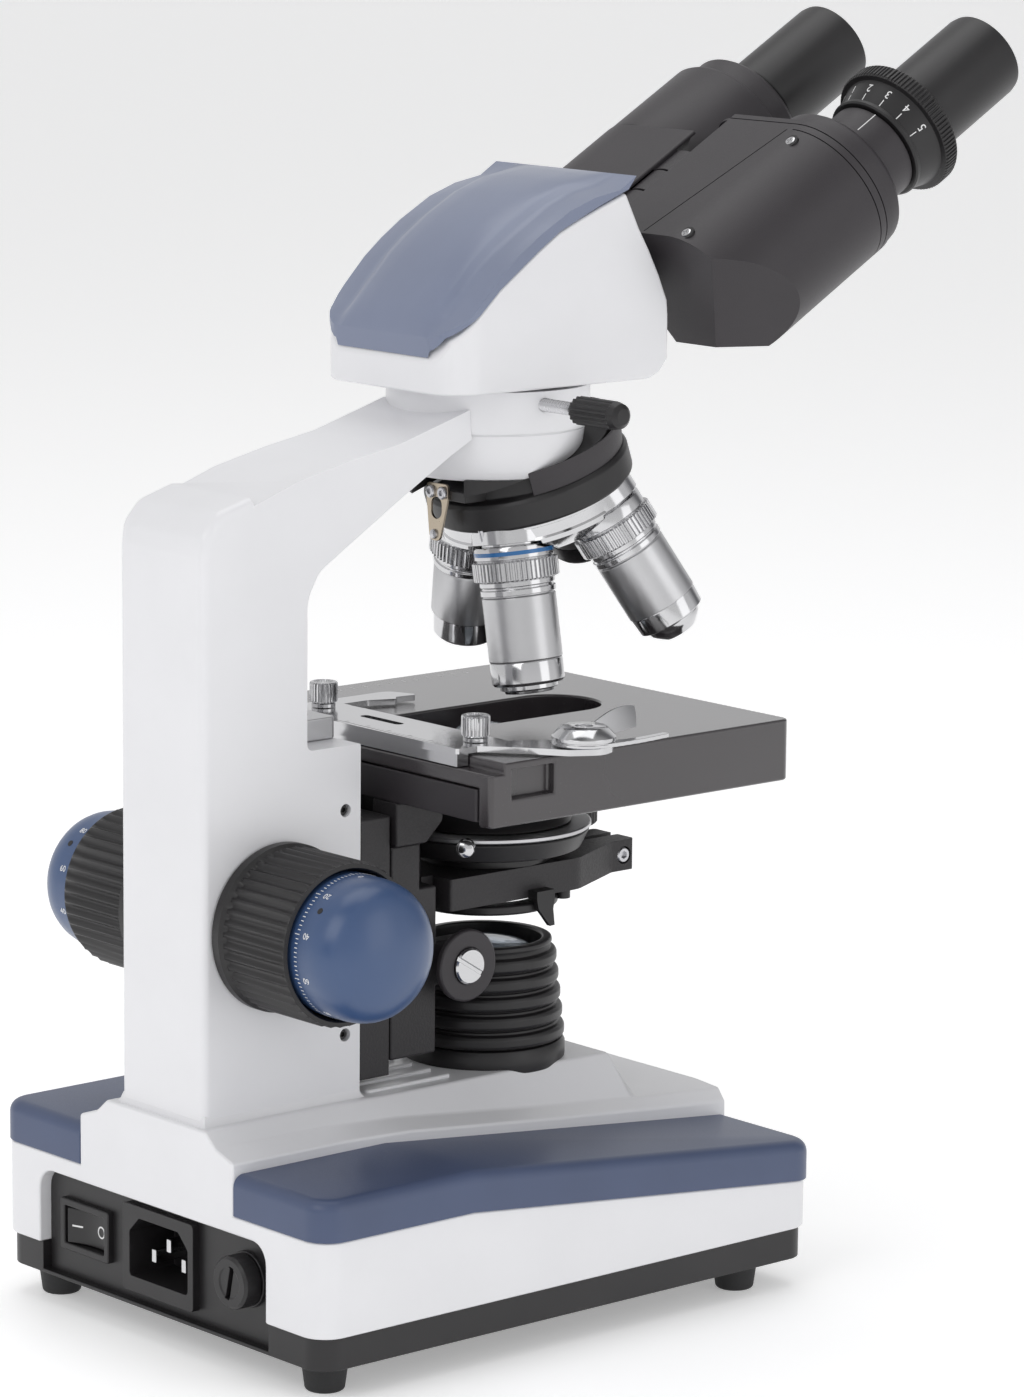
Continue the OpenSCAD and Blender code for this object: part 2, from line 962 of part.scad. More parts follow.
module head_cap() {
  color(blue)
    intersection() {
      plan_slab(-31.3, 31.3, -45, 40.4, 9.5, 275, 340);
      side_slab(-32, 32, [[40.4, 278.6], [40.4, 290], [37.5, 293.5],
        [31, 299.5], [23, 307.5], [12, 316.3], [0, 323], [-12, 328],
        [-22, 330.6], [-29.5, 331], [-26.2, 326.4], [-15.2, 322.5],
        [-0.2, 316.2], [14.8, 306.1], [29.8, 293.7], [38.75, 287.1],
        [40.02, 284.7], [40.02, 278.6]]);
    }
}

// knurled screw that locks the turning head
module head_lock() {
  color(black)
    translate([0, 4 + ax, lock_z])
      rotate([0, -90, 0])
        difference() {
          union() {
            translate([0, 0, 22.4])
              cylinder(h = 22, r = 2);
            translate([0, 0, 43.5])
              cylinder(h = 18.7, r = 4.2);
            translate([0, 0, 62.1])
              cylinder(h = 1.9, r1 = 4.2, r2 = 2.4);
          }
          for (k = [0 : 15])
            rotate([0, 0, k * 22.5])
              translate([4.2, 0, 44.5])
                cylinder(h = 18, r = 0.4, $fn = 4);
        }
}

module hinge_axle() {
  color(grey)
    tube_frame()
      difference() {
        union() {
          tube_rod(0, hb, 20, 110, 6, 6);
          tube_rod(0, hb, 35.4, 39, 16, 16);
          tube_rod(0, hb, 109, 112.5, 9, 9);
        }
        tube_rod(0, hb, 18, 114, 3.5, 3.5);
      }
}

// outline of one prism housing seen along the tubes, for the side x < 0
module housing_plan(x_in) {
  union() {
    translate([-half_ipd, tb])
      circle(r = prism_r);
    polygon([[x_in, tb + prism_r], [-half_ipd, tb + prism_r],
      [-half_ipd, tb - prism_r], [x_in - 16, tb - prism_r], [x_in - 3, hb - 4],
      [x_in, hb]]);
  }
}

// housing body for the side x < 0, from a0 to a1, with knuckles on the hinge
module housing(a0, a1, k0, k1) {
  difference() {
    union() {
      translate([0, 0, a0])
        linear_extrude(height = a1 - a0)
          housing_plan(-4.5);
      for (k = [k0, k1])
        tube_rod(0, hb, k, k + 10, 10.5, 10.5);
      for (k = [k0, k1])
        translate([-14, hb - 9, k])
          cube([12, 18, 10]);
    }
    for (k = [k0 + 10.4, k1 + 10.4])
      tube_rod(0, hb, k, k + 10.8, 10.9, 10.9);
    tube_rod(0, hb, a0 - 1, k0 - 0.4, 10.9, 10.9);
    tube_rod(0, hb, a0 - 1, a1 + 1, 6.05, 6.05);
    tube_rod(-half_ipd, tb, a0 + 22, a1 + 30, 11.65, 11.65);
    tube_rod(-half_ipd, tb, a0 + 22, a1 - 5, 19.5, 19.5);
    translate([-55.3, -24, 51.2])
      rotate([0, 50, 24.6])
        translate([-60, -60, -80])
          cube([120, 120, 80]);
    translate([-33, -48.1, 40.4])
      rotate([29.25, 0, 0])
        translate([-60, -80, -60])
          cube([120, 80, 120]);
  }
}

module housing_near() {
  color(grey)
    tube_frame()
      union() {
        housing(40.4, 107, 41, 62.6);
        difference() {
          union() {
            tube_rod(-half_ipd, tb, 106.9, 124, 15.2, 15.2);
            tube_rod(-half_ipd, tb, 123.9, 138.5, 14.15, 14.15);
          }
          tube_rod(-half_ipd, tb, 100, 140, 11.65, 11.65);
        }
      }
}

module housing_far() {
  color(grey)
    tube_frame()
      mirror([1, 0, 0])
        union() {
          housing(40.4, 92.6, 51.8, 73.4);
          difference() {
            union() {
              tube_rod(-half_ipd, tb, 92.5, 127.5, prism_r - 0.2, prism_r - 0.4);
              tube_rod(-half_ipd, tb, 127.4, 136.5, 21, 19.5);
            }
            tube_rod(-half_ipd, tb, 85, 140, 11.65, 11.65);
          }
        }
}

module dioptre_ring() {
  color(grey)
    tube_frame()
      difference() {
        union() {
          tube_rod(-half_ipd, tb, 124.3, 126.5, 17, 19.4);
          tube_rod(-half_ipd, tb, 126.4, 132.3, 19.4, 19.8);
          tube_rod(-half_ipd, tb, 132.3, 138, 22, 22.3);
          tube_rod(-half_ipd, tb, 137.9, 140, 21, 19);
        }
        tube_rod(-half_ipd, tb, 120, 145, 14.2, 14.2);
        for (k = [0 : 59])
          translate([-half_ipd, tb, 133])
            rotate([0, 0, k * 6])
              translate([22.2, 0, 0])
                cylinder(h = 6, r = 0.45, $fn = 4);
      }
}

module eyepiece(x, a0) {
  difference() {
    union() {
      tube_rod(x, tb, a0 - 30, a0 + 0.1, 11.6, 11.6);
      tube_rod(x, tb, a0, a0 + 36.5, eye_r, eye_r);
      tube_rod(x, tb, a0 + 36.4, a0 + 38.6, eye_r, eye_r - 1.6);
    }
    tube_rod(x, tb, a0 + 36, a0 + 40, 9, 11);
    tube_rod(x, tb, a0 - 31, a0 + 30, 9.8, 9.8);
    tube_rod(x, tb, a0 + 29, a0 + 40, 8, 8);
  }
}

module eyepiece_near() {
  color(black)
    tube_frame()
      union() {
        eyepiece(-half_ipd, 140.4);
        tube_rod(-half_ipd, tb, 170, 175.6, 8.05, 8.05);
      }
}

module eyepiece_far() {
  color(black)
    tube_frame()
      union() {
        eyepiece(half_ipd, 140.4);
        tube_rod(half_ipd, tb, 170, 175.6, 8.05, 8.05);
      }
}

base_shell();
base_pad_left();
base_pad_right();
base_tray();
rubber_feet();
tray_screws();
rear_panel();
power_inlet();
inlet_pins();
switch_bezel();
rocker();
fuse_holder();
fuse_cap();
fuse_tube();
power_board();
arm();
arm_plugs();
nose_casting();
focus_rail();
pinion_shaft();
coarse_knobs();
fine_shaft();
fine_knobs();
carriage();
stage_bracket();
stage_base();
stage_top();
drive_y_knob();
drive_x_knob();
slide_holder();
holder_screws();
clip_finger();
condenser_mount();
condenser_shaft();
condenser_knob();
condenser_body();
condenser_lens();
iris_lever();
filter_holder();
lamp_housing();
lamp_lens();
lamp_board();
turret_carrier();
turret_cover();
detent_spring();
detent_screws();
turret();
objective_4();
objective_10();
objective_40();
objective_100();
head_shell();
head_cap();
head_lock();
hinge_axle();
housing_near();
housing_far();
dioptre_ring();
eyepiece_near();
eyepiece_far();
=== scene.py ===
import json
import math
import bmesh
import bpy
from mathutils import Matrix, Vector

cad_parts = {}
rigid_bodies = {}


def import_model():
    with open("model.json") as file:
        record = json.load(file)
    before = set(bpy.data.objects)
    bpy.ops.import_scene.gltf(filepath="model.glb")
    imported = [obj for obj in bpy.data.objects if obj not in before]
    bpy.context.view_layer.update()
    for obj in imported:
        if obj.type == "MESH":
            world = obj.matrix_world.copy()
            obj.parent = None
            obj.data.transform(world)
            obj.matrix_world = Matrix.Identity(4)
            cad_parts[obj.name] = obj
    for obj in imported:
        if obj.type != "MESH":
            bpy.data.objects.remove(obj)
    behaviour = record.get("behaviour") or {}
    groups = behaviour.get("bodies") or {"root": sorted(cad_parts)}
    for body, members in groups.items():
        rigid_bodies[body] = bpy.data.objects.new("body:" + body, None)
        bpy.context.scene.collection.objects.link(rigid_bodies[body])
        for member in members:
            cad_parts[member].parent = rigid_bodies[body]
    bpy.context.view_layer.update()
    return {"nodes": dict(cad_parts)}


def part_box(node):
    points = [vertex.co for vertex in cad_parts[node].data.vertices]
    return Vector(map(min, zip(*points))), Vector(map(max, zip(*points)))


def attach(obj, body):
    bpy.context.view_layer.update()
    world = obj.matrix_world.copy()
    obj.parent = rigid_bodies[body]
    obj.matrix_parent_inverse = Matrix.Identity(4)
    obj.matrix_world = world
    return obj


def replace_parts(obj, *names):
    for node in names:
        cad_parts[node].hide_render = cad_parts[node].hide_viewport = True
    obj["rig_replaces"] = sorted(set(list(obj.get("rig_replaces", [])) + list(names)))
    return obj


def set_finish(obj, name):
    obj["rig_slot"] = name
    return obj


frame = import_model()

# Sizes below are in millimetres in the microscope's own frame: x = 0, y = 0 is
# the optical axis, the table is z = 0, the user is at -y. MM turns them into metres.
MM = 0.001
LAMP_LOW, LAMP_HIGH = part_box("lamp_housing")
AXIS_Y = (LAMP_LOW[1] + LAMP_HIGH[1]) / 2
PLACE = Matrix.Translation((0, AXIS_Y, 0)) @ Matrix.Scale(MM, 4)


def low(node):
    """Lowest corner of a CAD node in the microscope's frame, in millimetres."""
    x, y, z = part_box(node)[0]
    return Vector((x, y - AXIS_Y, z)) / MM


def high(node):
    """Highest corner of a CAD node in the microscope's frame, in millimetres."""
    x, y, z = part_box(node)[1]
    return Vector((x, y - AXIS_Y, z)) / MM


BACK_Y = high("base_shell").y
FRONT_Y = low("base_shell").y
HALF_W = high("base_shell").x
DECK_Z = high("base_shell").z
ARM_X = high("arm").x
STAGE_X = high("stage_top").x
STAGE_TOP = high("stage_top").z
FOCUS_Y = (low("fine_shaft").y + high("fine_shaft").y) / 2
FOCUS_Z = (low("fine_shaft").z + high("fine_shaft").z) / 2
TUBE_TILT = math.radians(60)
TURRET_TILT = math.radians(19.3)
TURRET_TURN = math.radians(26.4)
APEX_Z = 285.3
HALF_IPD = 33.0
TUBE_B = -32.8
HINGE_B = -20.0
TUBE = Matrix.Translation((0, 0, 300)) @ Matrix.Rotation(TUBE_TILT, 4, "X")
TURRET = Matrix.Translation((0, 0, APEX_Z)) @ Matrix.Rotation(-TURRET_TILT, 4, "X")


def objective_place(k):
    """Frame of the k-th objective: local -z runs down its axis from the apex."""
    spin = Matrix.Rotation(TURRET_TURN + k * math.pi / 2, 4, "Z")
    return TURRET @ spin @ Matrix.Rotation(TURRET_TILT, 4, "X")


# ---------------------------------------------------------------- materials

def node_material(name, color, rough, metallic=0.0, coat=0.0):
    """New material with its nodes, its shader and its link function."""
    material = bpy.data.materials.new(name)
    material.use_nodes = True
    nodes = material.node_tree.nodes
    shader = nodes["Principled BSDF"]
    shader.inputs["Base Color"].default_value = (*color, 1)
    shader.inputs["Roughness"].default_value = rough
    shader.inputs["Metallic"].default_value = metallic
    shader.inputs["Coat Weight"].default_value = coat
    shader.inputs["Coat Roughness"].default_value = 0.25
    return material, nodes, shader, material.node_tree.links


def noise(nodes, links, coords, scale, detail=3.0):
    """Noise texture in object coordinates, so that scale counts cells per metre."""
    texture = nodes.new("ShaderNodeTexNoise")
    texture.inputs["Scale"].default_value = scale
    texture.inputs["Detail"].default_value = detail
    links.new(coords.outputs["Object"], texture.inputs["Vector"])
    return texture


def ramp(nodes, links, source, stops):
    """Colour ramp fed by a texture; stops are (position, colour)."""
    node = nodes.new("ShaderNodeValToRGB")
    points = node.color_ramp.elements
    while len(points) < len(stops):
        points.new(0.5)
    for point, (position, color) in zip(points, stops):
        point.position = position
        point.color = (*color, 1)
    links.new(source, node.inputs["Fac"])
    return node


def shade(color, factor):
    return tuple(min(1.0, channel * factor) for channel in color)


def finish_material(name, color, rough, metallic=0.0, grain=2500, bump=0.1, depth=0.00004,
                    mottle=0.06, rough_span=0.08, coat=0.0, detail=3.0):
    """Surface with a fine grain in bump, slow colour mottling and uneven gloss."""
    material, nodes, shader, links = node_material(name, color, rough, metallic, coat)
    coords = nodes.new("ShaderNodeTexCoord")
    slow = noise(nodes, links, coords, 35, 4.0)
    tint = ramp(nodes, links, slow.outputs["Fac"],
                [(0.3, shade(color, 1 - mottle)), (0.7, shade(color, 1 + mottle))])
    links.new(tint.outputs["Color"], shader.inputs["Base Color"])
    fine = noise(nodes, links, coords, grain, detail)
    spread = nodes.new("ShaderNodeMapRange")
    spread.inputs["To Min"].default_value = max(0.02, rough - rough_span)
    spread.inputs["To Max"].default_value = min(1.0, rough + rough_span)
    links.new(fine.outputs["Fac"], spread.inputs["Value"])
    links.new(spread.outputs["Result"], shader.inputs["Roughness"])
    relief = nodes.new("ShaderNodeBump")
    relief.inputs["Strength"].default_value = bump
    relief.inputs["Distance"].default_value = depth
    links.new(fine.outputs["Fac"], relief.inputs["Height"])
    links.new(relief.outputs["Normal"], shader.inputs["Normal"])
    return material


def glass_material():
    material, nodes, shader, links = node_material("lens_glass", (0.86, 0.92, 1.0), 0.03)
    shader.inputs["Transmission Weight"].default_value = 0.75
    shader.inputs["IOR"].default_value = 1.5
    coords = nodes.new("ShaderNodeTexCoord")
    slow = noise(nodes, links, coords, 60)
    tint = ramp(nodes, links, slow.outputs["Fac"],
                [(0.3, (0.80, 0.88, 0.98)), (0.7, (0.90, 0.95, 1.0))])
    links.new(tint.outputs["Color"], shader.inputs["Base Color"])
    return material


SLOT_OF = {}


def finish(slot, name, color, rough, **look):
    """New finish for pieces, noted with the CAD slot that it stands for."""
    material = finish_material(name, color, rough, **look)
    SLOT_OF[material] = slot
    return material


WHITE = finish("shell_white", "white_enamel", (0.80, 0.80, 0.82), 0.34,
               grain=1400, bump=0.12, depth=0.00006, mottle=0.015, coat=0.25)
BLUE = finish("slate_blue", "slate_blue_plastic", (0.062, 0.086, 0.165), 0.42,
              grain=3200, bump=0.25, depth=0.00003, mottle=0.05, coat=0.1)
KNOB_BLUE = finish("slate_blue", "knob_blue_plastic", (0.040, 0.080, 0.185), 0.34,
                   grain=3200, bump=0.15, depth=0.00003, mottle=0.04, coat=0.3)
# blue plastic of the cap, lightened and greyed to paint in the reflection of the bright room above
# on its glossy top
CAP_BLUE_SHEEN = finish("slate_blue", "cap_blue_painted_sheen", (0.185, 0.215, 0.310), 0.34,
                  grain=3200, bump=0.2, depth=0.00003, mottle=0.04, coat=0.35)
BLACK = finish("black_plastic", "black_moulded_plastic", (0.013, 0.012, 0.013), 0.4,
               grain=2600, bump=0.25, mottle=0.2)
COAT = finish("black_coat", "charcoal_powder_coat", (0.030, 0.026, 0.030), 0.46,
              grain=2600, bump=0.5, depth=0.00006, mottle=0.08, rough_span=0.1)
WRINKLE = finish("black_coat", "black_wrinkle_coat", (0.020, 0.018, 0.020), 0.5, grain=1300,
                 bump=0.9, depth=0.00014, mottle=0.12, rough_span=0.14, detail=5.0)
STAGE = finish("stage_paint", "stage_enamel", (0.034, 0.029, 0.032), 0.24,
               grain=1900, bump=0.08, depth=0.00003, mottle=0.05, coat=0.8)
RUBBER = finish("black_rubber", "black_rubber", (0.016, 0.016, 0.017), 0.65,
                grain=1800, bump=0.35, depth=0.00006, mottle=0.2)
SATIN = finish("satin_aluminium", "satin_aluminium", (0.55, 0.55, 0.56), 0.34, metallic=1.0,
               grain=900, bump=0.12, depth=0.00002, mottle=0.03, rough_span=0.05)
CHROME = finish("bright_chrome", "polished_chrome", (0.60, 0.60, 0.61), 0.14, metallic=1.0,
                grain=300, bump=0.03, depth=0.00002, mottle=0.03, rough_span=0.04)
STEEL = finish("steel", "turned_steel", (0.56, 0.56, 0.58), 0.28, metallic=1.0,
               grain=1200, bump=0.2, depth=0.00003, mottle=0.05)
BRONZE = finish("bronze", "spring_bronze", (0.50, 0.43, 0.34), 0.3, metallic=1.0,
                grain=700, bump=0.15, depth=0.00003, mottle=0.12)
BOARD = finish("circuit_board", "green_circuit_board", (0.02, 0.14, 0.06), 0.4,
               grain=800, bump=0.3, depth=0.00005, mottle=0.15)
INK = finish("shell_white", "white_ink", (0.80, 0.80, 0.80), 0.5,
             grain=3000, depth=0.00001, mottle=0.03)
BLUE_INK = finish("slate_blue", "blue_ring_enamel", (0.01, 0.13, 0.36), 0.25,
                  grain=2000, depth=0.00001, coat=0.5)
GLASS = glass_material()
SLOT_OF[GLASS] = "clear_glass"


# ---------------------------------------------------------------- mesh tools

def arc(radius, start, end, steps, centre=(0, 0)):
    """Points on a circular arc, angles in degrees."""
    points = []
    for i in range(steps + 1):
        angle = math.radians(start + (end - start) * i / steps)
        points.append((centre[0] + radius * math.cos(angle), centre[1] + radius * math.sin(angle)))
    return points


def dome(radius, base, rise, steps):
    """Profile of a low dome from its rim to its top, without the rim point."""
    turns = [math.pi * t / (2 * steps) for t in range(1, steps)]
    profile = [(radius * math.cos(turn), base + rise * math.sin(turn)) for turn in turns]
    return profile + [(0, base + rise)]


def rounded(points, radius, steps=6):
    """Closed outline with rounded corners; radius is one number or one per corner."""
    result = []
    for i, point in enumerate(points):
        wanted = radius[i] if isinstance(radius, (list, tuple)) else radius
        corner = Vector(point)
        if wanted <= 0:
            result.append(tuple(corner))
            continue
        before = Vector(points[i - 1]) - corner
        after = Vector(points[(i + 1) % len(points)]) - corner
        half = before.angle(after) / 2
        reach = min(wanted / math.tan(half), 0.49 * before.length, 0.49 * after.length)
        actual = reach * math.tan(half)
        before.normalize()
        after.normalize()
        centre = corner + (before + after).normalized() * (actual / math.sin(half))
        start = corner + before * reach - centre
        end = corner + after * reach - centre
        first = math.atan2(start.y, start.x)
        turn = (math.atan2(end.y, end.x) - first + math.pi) % (2 * math.pi) - math.pi
        for k in range(steps + 1):
            angle = first + turn * k / steps
            result.append((centre.x + actual * math.cos(angle),
                           centre.y + actual * math.sin(angle)))
    return result


def rectangle(x0, x1, y0, y1, radius=0, steps=6):
    return rounded([(x0, y0), (x1, y0), (x1, y1), (x0, y1)], radius, steps)


def prism(outline, start, end, along="z"):
    """Closed solid: a flat outline pushed along one axis."""
    order = {"z": lambda p, h: (p[0], p[1], h), "x": lambda p, h: (h, p[0], p[1]),
             "y": lambda p, h: (p[0], h, p[1])}[along]
    bm = bmesh.new()
    rings = [[bm.verts.new(order(p, h)) for p in outline] for h in (start, end)]
    count = len(outline)
    bm.faces.new(rings[0][::-1])
    bm.faces.new(rings[1])
    for i in range(count):
        j = (i + 1) % count
        bm.faces.new((rings[0][i], rings[0][j], rings[1][j], rings[1][i]))
    bmesh.ops.recalc_face_normals(bm, faces=bm.faces)
    return bm


def block(x0, x1, y0, y1, z0, z1):
    return prism([(x0, y0), (x1, y0), (x1, y1), (x0, y1)], z0, z1)


def loft(sections):
    """Closed solid through outlines with the same number of points, as 3-D points."""
    bm = bmesh.new()
    rings = [[bm.verts.new(p) for p in section] for section in sections]
    count = len(rings[0])
    for a, b in zip(rings, rings[1:]):
        for i in range(count):
            j = (i + 1) % count
            bm.faces.new((a[i], a[j], b[j], b[i]))
    bm.faces.new(rings[0][::-1])
    bm.faces.new(rings[-1])
    bmesh.ops.recalc_face_normals(bm, faces=bm.faces)
    return bm


def turned(profile, steps=96, closed=False, radius_at=None):
    """Turned solid from (radius, height) points; closed makes a ring. radius_at(r, h, angle)
    may change the radius round the turn, for flutes and knurls."""
    bm = bmesh.new()
    rings = []
    for r, h in profile:
        if r < 1e-6:
            rings.append([bm.verts.new((0, 0, h))])
            continue
        ring = []
        for i in range(steps):
            angle = 2 * math.pi * i / steps
            radius = radius_at(r, h, angle) if radius_at else r
            ring.append(bm.verts.new((radius * math.cos(angle), radius * math.sin(angle), h)))
        rings.append(ring)
    pairs = list(zip(rings, rings[1:]))
    if closed:
        pairs.append((rings[-1], rings[0]))
    for a, b in pairs:
        for i in range(steps):
            j = (i + 1) % steps
            if len(a) == 1 and len(b) == 1:
                continue
            if len(a) == 1:
                bm.faces.new((a[0], b[j], b[i]))
            elif len(b) == 1:
                bm.faces.new((a[i], a[j], b[0]))
            else:
                bm.faces.new((a[i], a[j], b[j], b[i]))
    bmesh.ops.recalc_face_normals(bm, faces=bm.faces)
    return bm


def turned_ring(profile, steps=96, radius_at=None):
    """Turned solid whose profile closes on itself away from the axis."""
    return turned(profile, steps, True, radius_at)


def rod(radius, start, end, steps=32):
    """Upright cylinder between two heights."""
    return turned([(0, start), (radius, start), (radius, end), (0, end)], steps)


def tube(inner, outer, start, end, steps=96):
    """Upright hollow cylinder between two heights."""
    profile = [(inner, start), (outer, start), (outer, end), (inner, end)]
    return turned_ring(profile, steps)


def rotation(axis, degrees):
    return Matrix.Rotation(math.radians(degrees), 4, axis)


def moved(bm, matrix):
    bmesh.ops.transform(bm, matrix=matrix, verts=bm.verts)
    return bm


def shift(bm, x=0, y=0, z=0):
    return moved(bm, Matrix.Translation((x, y, z)))


def axis_place(axis, x=0, y=0, z=0):
    """Frame whose local z runs along x, -x or y from the given point."""
    turn = {"x": ("Y", 90), "-x": ("Y", -90), "y": ("X", -90)}[axis]
    return Matrix.Translation((x, y, z)) @ rotation(*turn)


def laid(bm, axis, x=0, y=0, z=0):
    """Turns a mesh that was made upright along an axis and moves it to a point."""
    return moved(bm, axis_place(axis, x, y, z))


def joined(*parts):
    """One mesh holding all the parts."""
    result = bmesh.new()
    for part in parts:
        mesh = mesh_of("part", part)
        result.from_mesh(mesh)
        bpy.data.meshes.remove(mesh)
    return result


def mesh_of(name, bm):
    """Blender mesh holding what bm holds; bm is used up."""
    mesh = bpy.data.meshes.new(name)
    bm.to_mesh(mesh)
    bm.free()
    return mesh


def linked(name, data):
    """New object in the scene for a mesh, curve, light or camera."""
    obj = bpy.data.objects.new(name, data)
    bpy.context.scene.collection.objects.link(obj)
    return obj


def combined(base, *tools, how="DIFFERENCE"):
    """Boolean of a solid with the tools, as a new mesh."""
    body, *helpers = [linked("scratch", mesh_of("scratch", bm)) for bm in (base, *tools)]
    for helper in helpers:
        modifier = body.modifiers.new("combine", "BOOLEAN")
        modifier.object = helper
        modifier.operation = how
        modifier.solver = "EXACT"
    graph = bpy.context.evaluated_depsgraph_get()
    evaluated = body.evaluated_get(graph)
    result = bmesh.new()
    result.from_mesh(evaluated.to_mesh())
    evaluated.to_mesh_clear()
    for obj in [body, *helpers]:
        mesh = obj.data
        bpy.data.objects.remove(obj)
        bpy.data.meshes.remove(mesh)
    bmesh.ops.remove_doubles(result, verts=result.verts, dist=0.001)
    bmesh.ops.dissolve_limit(result, angle_limit=0.004, verts=result.verts, edges=result.edges)
    return result


def union(*parts):
    return combined(*parts, how="UNION")


def soften(bm, chosen, width, segments=4):
    """Rounds the edges that chosen(edge middle, edge) picks."""
    edges = []
    for edge in bm.edges:
        middle = (edge.verts[0].co + edge.verts[1].co) / 2
        if len(edge.link_faces) == 2 and edge.calc_face_angle(0) > 0.35 and chosen(middle, edge):
            edges.append(edge)
    bmesh.ops.bevel(bm, geom=edges, offset=width, segments=segments, profile=0.5, affect="EDGES")
    return bm


def make(name, bm, material, body, stands_for=(), at=None, bevel=0.0, segments=3, sharp=32):
    """Turns a mesh in the microscope's frame into a finished piece that rides on a body."""
    if at is not None:
        moved(bm, at)
    moved(bm, PLACE)
    bmesh.ops.recalc_face_normals(bm, faces=bm.faces)
    mesh = mesh_of(name, bm)
    mesh.materials.append(material)
    for polygon in mesh.polygons:
        polygon.use_smooth = True
    mesh.set_sharp_from_angle(angle=math.radians(sharp))
    obj = linked(name, mesh)
    if bevel:
        modifier = obj.modifiers.new("bevel", "BEVEL")
        modifier.width = bevel * MM
        modifier.segments = segments
        modifier.limit_method = "ANGLE"
        modifier.angle_limit = math.radians(sharp)
        modifier.harden_normals = True
    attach(obj, body)
    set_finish(obj, SLOT_OF[material])
    if stands_for:
        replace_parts(obj, *stands_for)
    return obj


def flutes(count, depth, low_h, high_h, sharp=2.0):
    """Radius rule for grooves cut along a knob between two heights."""
    def rule(r, h, angle):
        if not low_h <= h <= high_h:
            return r
        wave = 0.5 + 0.5 * math.cos(count * angle)
        return r - depth * wave ** sharp
    return rule


def lettering(text, size, depth=0.08):
    """Flat text as a thin mesh lying in the xy plane, centred."""
    curve = bpy.data.curves.new("text", "FONT")
    curve.body = text
    curve.size = size
    curve.align_x = "CENTER"
    curve.align_y = "CENTER"
    curve.extrude = depth / 2
    curve.resolution_u = 3
    obj = linked("text", curve)
    graph = bpy.context.evaluated_depsgraph_get()
    bm = bmesh.new()
    bm.from_mesh(obj.evaluated_get(graph).to_mesh())
    bpy.data.objects.remove(obj)
    bpy.data.curves.remove(curve)
    return bm


def tick(half_width, half_length, depth):
    """Printed line along y."""
    return block(-half_width, half_width, -half_length, half_length, 0, depth)


def wrap(bm, radius_at, height, angle, upright=True):
    """Bends a flat mark round a turned surface: x goes round it, y along its axis."""
    for vert in bm.verts:
        u, v, w = vert.co
        if not upright:
            u, v = v, -u
        h = height + v
        radius = radius_at(h) + w
        turn = angle + u / radius_at(height)
        vert.co = (radius * math.cos(turn), radius * math.sin(turn), h)
    return bm


def socket_screw(radius, length, cross=False):
    """Small screw head along +z, with a hexagon socket or a cross."""
    head = turned([(0, 0), (radius, 0), (radius, length * 0.7), (radius * 0.8, length),
                   (0, length)], 32)
    if cross:
        long, thin = radius * 0.7, radius * 0.14
        tools = [shift(block(-x, x, -y, y, 0, 1), z=length * 0.5)
                 for x, y in ((long, thin), (thin, long))]
    else:
        tools = [prism(arc(radius * 0.5, 0, 300, 5), length * 0.45, length + 1)]
    return combined(head, *tools)


# ---------------------------------------------------------------- base

PAD_BEND_Y = 68.0
PAD_INNER_X = 36.0
PAD_THICK = 12.0
CORNER_R = 8.5
# how far the pads stand out over the white band, at the sides and the front
PROUD = 0.8
# where the white band meets the tray, and the pocket behind the rear panel
SPLIT_Z = 18.4
PANEL_DEPTH = 6.4
PANEL_X = (-50.5, 56)
POCKET_X = (-48, 54)
POCKET_Y = (BACK_Y - 27, BACK_Y - 5)
FUSE_X, FUSE_Z = -38.3, 28


def pad_edge(y):
    """Height of the lower edge of the pads: level at the back, then falling forward."""
    return 46.3 - 0.1025 * max(0.0, PAD_BEND_Y - y)


def bend(bm, y):
    """Cuts the mesh across at y, so that it can kink there."""
    geometry = bm.verts[:] + bm.edges[:] + bm.faces[:]
    bmesh.ops.bisect_plane(bm, geom=geometry, plane_co=(0, y, 0), plane_no=(0, 1, 0))
    return bm


def base_band():
    """White side band under the pads; the opening for the power panel is cut from the shell later.
    """
    bm = prism(rectangle(-HALF_W, HALF_W, FRONT_Y, BACK_Y, CORNER_R, 12), SPLIT_Z, 40)
    bend(bm, PAD_BEND_Y)
    for vert in bm.verts:
        if vert.co.z > 30:
            vert.co.z = pad_edge(vert.co.y)
    return bm


def hump():
    """White centre: level deck under the arm and the lamp, falling to a low front."""
    rows = [
        # y, deck half width, deck height, crease x, crease height, outer height
        (BACK_Y, 23.0, 68.2, 27.8, 64.2, 61.4),
        (84.0, 23.0, 68.2, 28.0, 63.8, 61.3),
        (58.0, 23.0, DECK_Z, 28.5, 62.4, 60.2),
        (1.5, 22.8, DECK_Z - 0.4, 30.2, 57.0, 54.6),
        (-30.2, 22.4, 67.0, 32.6, 54.8, 51.8),
        (-33.6, 23.0, 54.6, 32.8, 54.4, 51.4),
        (FRONT_Y, 23.0, 53.2, 33.0, 52.4, 48.6),
    ]
    sections = []
    for y, deck_x, deck_z, crease_x, crease_z, outer_z in rows:
        half = [(PAD_INNER_X, y, 30), (PAD_INNER_X, y, outer_z), (crease_x, y, crease_z),
                (deck_x, y, deck_z)]
        sections.append(half + [(-x, y, z) for x, y, z in reversed(half)])
    return loft(sections)


def vent_ridges():
    """Low ridges on the deck between the arm and the lamp."""
    middles = [-17 + i * 8.5 for i in range(5)]
    return joined(*(prism(rectangle(x - 1.5, x + 1.5, 28, 60, 1.4, 4), DECK_Z - 0.6, DECK_Z + 0.9)
                    for x in middles))


